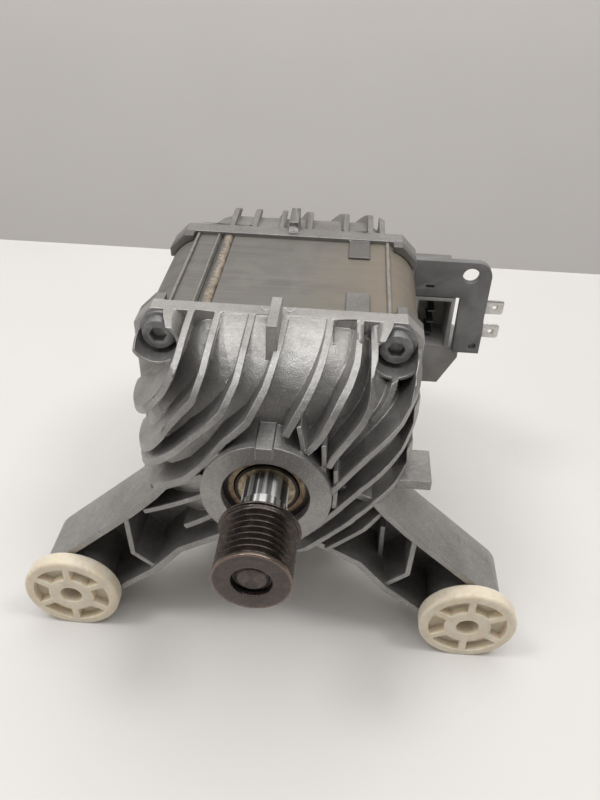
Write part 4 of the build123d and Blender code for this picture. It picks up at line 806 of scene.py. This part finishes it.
class MOTOR_OT_castings(bpy.types.Operator):
    """Build both die-cast end shields"""

    bl_idname = "motor.castings"
    bl_label = "End shields"

    def execute(self, context):
        _, sizes, _ = settings()
        for end in ("front", "rear"):
            # Each shield's outward edges take the lighter edge finish, a painted highlight.
            cast_copy(end + "_shield", end + "_casting", end + "_casting_aluminium", end + "_casting_highlight", "stator",
                      sizes.cast_round)
        return {"FINISHED"}


class MOTOR_OT_marks(bpy.types.Operator):
    """Raise the half-round marks beside the front tab"""

    bl_idname = "motor.marks"
    bl_label = "Casting marks"

    def execute(self, context):
        for number, (left, right) in enumerate(MARK_SPANS):
            # The marks are painted all over in the lighter edge finish, a painted highlight.
            piece_from(mark_shape(left, right), "casting_mark_%d" % number, "front_casting_highlight", "stator",
                       STRIP_SMOOTH_ANGLE)
        return {"FINISHED"}


class MOTOR_OT_stack(bpy.types.Operator):
    """Finish the laminated stack"""

    bl_idname = "motor.stack"
    bl_label = "Stator stack"

    def execute(self, context):
        paint(nodes["stator_core"], "sheet_edges")
        low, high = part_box("stator_core")
        for number, (x, width, rise) in enumerate(RIDGES):
            shape = ridge_shape(x, width, high.z, rise, low.y + RIDGE_INSET, high.y - RIDGE_INSET, number)
            # The ridges take the lighter finish, painting highlight lines along the top of the stack.
            piece_from(shape, "stack_ridge_%d" % number, "ridge_highlight", "stator", STRIP_SMOOTH_ANGLE)
        shape = weld_shape(WELD_X, WELD_WIDTH, high.z - WELD_RISE, WELD_RISE, low.y + WELD_FRONT_INSET,
                           high.y - WELD_REAR_INSET)
        piece_from(shape, "weld_bead", "weld_metal", "stator", STRIP_SMOOTH_ANGLE)
        return {"FINISHED"}


class MOTOR_OT_screws(bpy.types.Operator):
    """Build the clamp screws with rounded heads"""

    bl_idname = "motor.screws"
    bl_label = "Clamp screws"

    def execute(self, context):
        bevelled_copy("clamp_screws", "clamp_screw_set", "black_screw", "stator", CLAMP_SCREW_ROUND)
        bevelled_copy("bracket_screws", "bracket_screw_set", "black_screw", "stator",
                      BRACKET_SCREW_ROUND)
        return {"FINISHED"}


class MOTOR_OT_pulley(bpy.types.Operator):
    """Turn the belt pulley"""

    bl_idname = "motor.pulley"
    bl_label = "Belt pulley"

    def execute(self, context):
        _, sizes, _ = settings()
        low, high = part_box("pulley")
        front, rear = low.y, high.y
        floor, guard = front + RECESS_DEPTH, rear - GUARD_WIDTH
        band = sizes.groove_pitch * sizes.groove_count / 2
        root = PULLEY_CREST - GROOVE_DEPTH
        points = [(PULLEY_RECESS, floor), (PULLEY_RECESS, front), (PULLEY_CREST, front), (PULLEY_CREST, -band)]
        for number in range(sizes.groove_count):
            middle = -band + (number + 0.5) * sizes.groove_pitch
            points += [(root, middle - GROOVE_FLOOR), (root, middle + GROOVE_FLOOR)]
            points.append((PULLEY_CREST, middle + sizes.groove_pitch / 2))
        points += [(PULLEY_CREST, guard), (high.x, guard), (high.x, rear), (PULLEY_BORE, rear),
                   (PULLEY_BORE, floor)]
        shape = turned_shape(rounded_profile(points, PULLEY_ROUND))
        piece = piece_from(shape, "belt_pulley", "pulley_steel_worn", "rotor", ROUND_SMOOTH_ANGLE)
        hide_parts("pulley")
        return {"FINISHED"}


class MOTOR_OT_shaft(bpy.types.Operator):
    """Finish the shaft and both bearings"""

    bl_idname = "motor.shaft"
    bl_label = "Shaft and bearings"

    def execute(self, context):
        paint(nodes["shaft"], "polished_shaft")
        paint(nodes["front_bearing_inner_ring"], "gold_race")
        paint(nodes["front_bearing_outer_ring"], "ground_ring_steel")
        paint(nodes["front_bearing_seals"], "bronze_seal")
        for node in ("rear_bearing_inner_ring", "rear_bearing_outer_ring", "front_bearing_balls",
                     "rear_bearing_balls"):
            paint(nodes[node], "ground_ring_steel")
        for node in ("front_bearing_cage", "rear_bearing_cage", "preload_washer"):
            paint(nodes[node], "spring_wire")
        paint(nodes["rear_bearing_seals"], "bronze_seal")
        for node in ("shaft", "front_bearing_inner_ring", "front_bearing_outer_ring", "front_bearing_seals"):
            for face in nodes[node].data.polygons:
                face.use_smooth = True
        return {"FINISHED"}


class MOTOR_OT_bushings(bpy.types.Operator):
    """Build both nylon bushings"""

    bl_idname = "motor.bushings"
    bl_label = "Bushings"

    def execute(self, context):
        _, sizes, _ = settings()
        for word in ("left", "right"):
            bevelled_copy("bushing_" + word, "nylon_bushing_" + word, "bushing_nylon", "stator",
                          sizes.edge_round * BUSHING_ROUND_SHARE, 3)
        return {"FINISHED"}


class MOTOR_OT_connector(bpy.types.Operator):
    """Build the connector bracket, its housing and terminals"""

    bl_idname = "motor.connector"
    bl_label = "Connector"

    def execute(self, context):
        _, sizes, _ = settings()
        bevelled_copy("connector_bracket", "moulded_bracket", "bracket_plastic", "stator",
                      sizes.edge_round)
        bevelled_copy("connector_housing", "moulded_housing", "housing_plastic", "stator",
                      sizes.edge_round)
        for word in ("upper", "lower"):
            bevelled_copy("terminal_blade_" + word, "flat_terminal_" + word, "terminal_tin", "stator",
                          BLADE_ROUND)
        # The pins are painted dark as shade inside the socket.
        paint(nodes["housing_pins"], "pin_in_painted_shade")
        return {"FINISHED"}


class MOTOR_OT_inside(bpy.types.Operator):
    """Finish the pieces inside the shields"""

    bl_idname = "motor.inside"
    bl_label = "Inner pieces"

    def execute(self, context):
        inner = {
            "field_coil_right": "winding_wire", "field_coil_left": "winding_wire", "rotor_winding": "winding_wire",
            "sensor_coil": "winding_wire", "front_end_insulator": "pale_insulation",
            "rear_end_insulator": "pale_insulation", "thermal_cutout": "brown_moulding",
            "rotor_core": "sheet_edges", "commutator_segments": "turned_copper",
            "commutator_hub": "brown_moulding", "brush_yoke": "socket_plastic",
            "brush_holder_right": "socket_plastic", "brush_holder_left": "socket_plastic",
            "brush_tube_right": "brass_tube", "brush_tube_left": "brass_tube", "brush_right": "pressed_carbon",
            "brush_left": "pressed_carbon", "sensor_magnet": "magnet_ferrite", "sensor_cap": "socket_plastic",
        }
        for node, finish in inner.items():
            paint(nodes[node], finish)
        for word, side in (("right", 1), ("left", -1)):
            node = "brush_spring_" + word
            piece = piece_from(merged(node), "coil_spring_" + word, "spring_wire", "stator",
                               ROUND_SMOOTH_ANGLE)
            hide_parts(node)
            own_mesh(piece)
        return {"FINISHED"}


def lamp(name, place, size, power):
    """A square area lamp that faces the motor."""
    light = bpy.data.lights.new(name, "AREA")
    light.size = size
    light.energy = power
    holder = bpy.data.objects.new(name, light)
    holder.location = place
    holder.rotation_mode = "QUATERNION"
    holder.rotation_quaternion = (Vector(LAMP_TARGET) - Vector(place)).to_track_quat("-Z", "Y")
    bpy.context.scene.collection.objects.link(holder)


def stage_finish(name, colour, glow):
    """Painted surface with slight unevenness, which may glow a little as if lit by the room beyond."""
    made = Finish(name, colour, 0.0, 0.6)
    made.surface.inputs["Emission Color"].default_value = colour
    made.surface.inputs["Emission Strength"].default_value = glow
    cloud = made.noise(0.12, 3.0)
    near = tuple(part * 0.975 for part in colour[:3]) + (1,)
    made.colour(made.mixed(made.ranged(cloud, 0.35, 0.65), colour, near))
    made.bumps((made.noise(2.0 * MM, 3.0), STAGE_GRAIN))
    return made.material


class MOTOR_OT_stage(bpy.types.Operator):
    """Set the floor, wall, lights and camera"""

    bl_idname = "motor.stage"
    bl_label = "Stage"

    def execute(self, context):
        _, _, stage = settings()
        floor_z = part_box("bushing_right")[0].z - TABLE_GAP
        table_low, table_high = (-TABLE_HALF, -TABLE_HALF, floor_z - TABLE_DEPTH), (TABLE_HALF, TABLE_EDGE, floor_z)
        for name, colour, glow, low, high in (
                ("table_top", stage.floor_colour[:], 0.0, table_low, table_high),
                ("back_wall", stage.wall_colour[:], stage.wall_glow, WALL_LOW, WALL_HIGH)):
            shape = box_shape(low, high)
            mesh = bpy.data.meshes.new(name)
            shape.to_mesh(mesh)
            shape.free()
            piece = bpy.data.objects.new(name, mesh)
            context.scene.collection.objects.link(piece)
            mesh.materials.append(stage_finish(name, colour, glow))
        lamp("overhead_lamp", OVERHEAD_PLACE, OVERHEAD_SIZE, stage.lamp_power)
        for name, place in CEILING_LAMPS:
            lamp(name, place, CEILING_SIZE, stage.spot_power)
        lamp("window", WINDOW_PLACE, WINDOW_SIZE, stage.window_power)
        world = bpy.data.worlds.new("room")
        context.scene.world = world
        world.use_nodes = True
        background = world.node_tree.nodes["Background"]
        background.inputs["Color"].default_value = ROOM_COLOUR
        background.inputs["Strength"].default_value = stage.room_light
        yaw, pitch, roll = (math.radians(angle) for angle in (CAMERA_YAW, CAMERA_PITCH, CAMERA_ROLL))
        ahead = Vector((math.sin(yaw) * math.cos(pitch), math.cos(yaw) * math.cos(pitch), -math.sin(pitch)))
        right = Vector((math.cos(yaw), -math.sin(yaw), 0))
        above = right.cross(ahead)
        side = right * math.cos(roll) + above * math.sin(roll)
        top = above * math.cos(roll) - right * math.sin(roll)
        camera = bpy.data.objects.new("camera", bpy.data.cameras.new("camera"))
        camera.data.lens = CAMERA_LENS
        camera.data.sensor_width = SENSOR_WIDTH
        camera.data.clip_start = CLIP_START
        turn = Matrix((side, top, -ahead)).transposed()
        camera.matrix_world = Matrix.Translation(CAMERA_PLACE) @ turn.to_4x4()
        context.scene.collection.objects.link(camera)
        context.scene.camera = camera
        context.scene.view_settings.view_transform = "Standard"
        return {"FINISHED"}


class MOTOR_PT_panel(bpy.types.Panel):
    """Settings and steps of the motor"""

    bl_idname = "MOTOR_PT_panel"
    bl_label = "Washing machine motor"
    bl_space_type = "VIEW_3D"
    bl_region_type = "UI"
    bl_category = "Motor"

    def draw(self, context):
        for group in settings():
            for key in group.__annotations__:
                self.layout.prop(group, key)
        for operator in OPERATORS:
            self.layout.operator(operator.bl_idname)


GROUPS = (FinishSettings, ShapeSettings, StageSettings)
OPERATORS = (
    MOTOR_OT_castings, MOTOR_OT_marks, MOTOR_OT_stack, MOTOR_OT_screws, MOTOR_OT_pulley, MOTOR_OT_shaft,
    MOTOR_OT_bushings, MOTOR_OT_connector, MOTOR_OT_inside, MOTOR_OT_stage)
PLACES = ("motor_finishes", "motor_shapes", "motor_stage")


def register():
    for item in GROUPS + OPERATORS + (MOTOR_PT_panel,):
        bpy.utils.register_class(item)
    for place, group in zip(PLACES, GROUPS):
        setattr(bpy.types.Scene, place, PointerProperty(type=group))


def unregister():
    for place in PLACES:
        delattr(bpy.types.Scene, place)
    for item in reversed(GROUPS + OPERATORS + (MOTOR_PT_panel,)):
        bpy.utils.unregister_class(item)


def main():
    for item in list(bpy.data.objects):
        if item.type in ("LIGHT", "CAMERA") or item.name == "Cube":
            bpy.data.objects.remove(item)
    register()
    for operator in OPERATORS:
        getattr(bpy.ops.motor, operator.bl_idname.split(".")[1])()


if __name__ == "__main__":
    main()
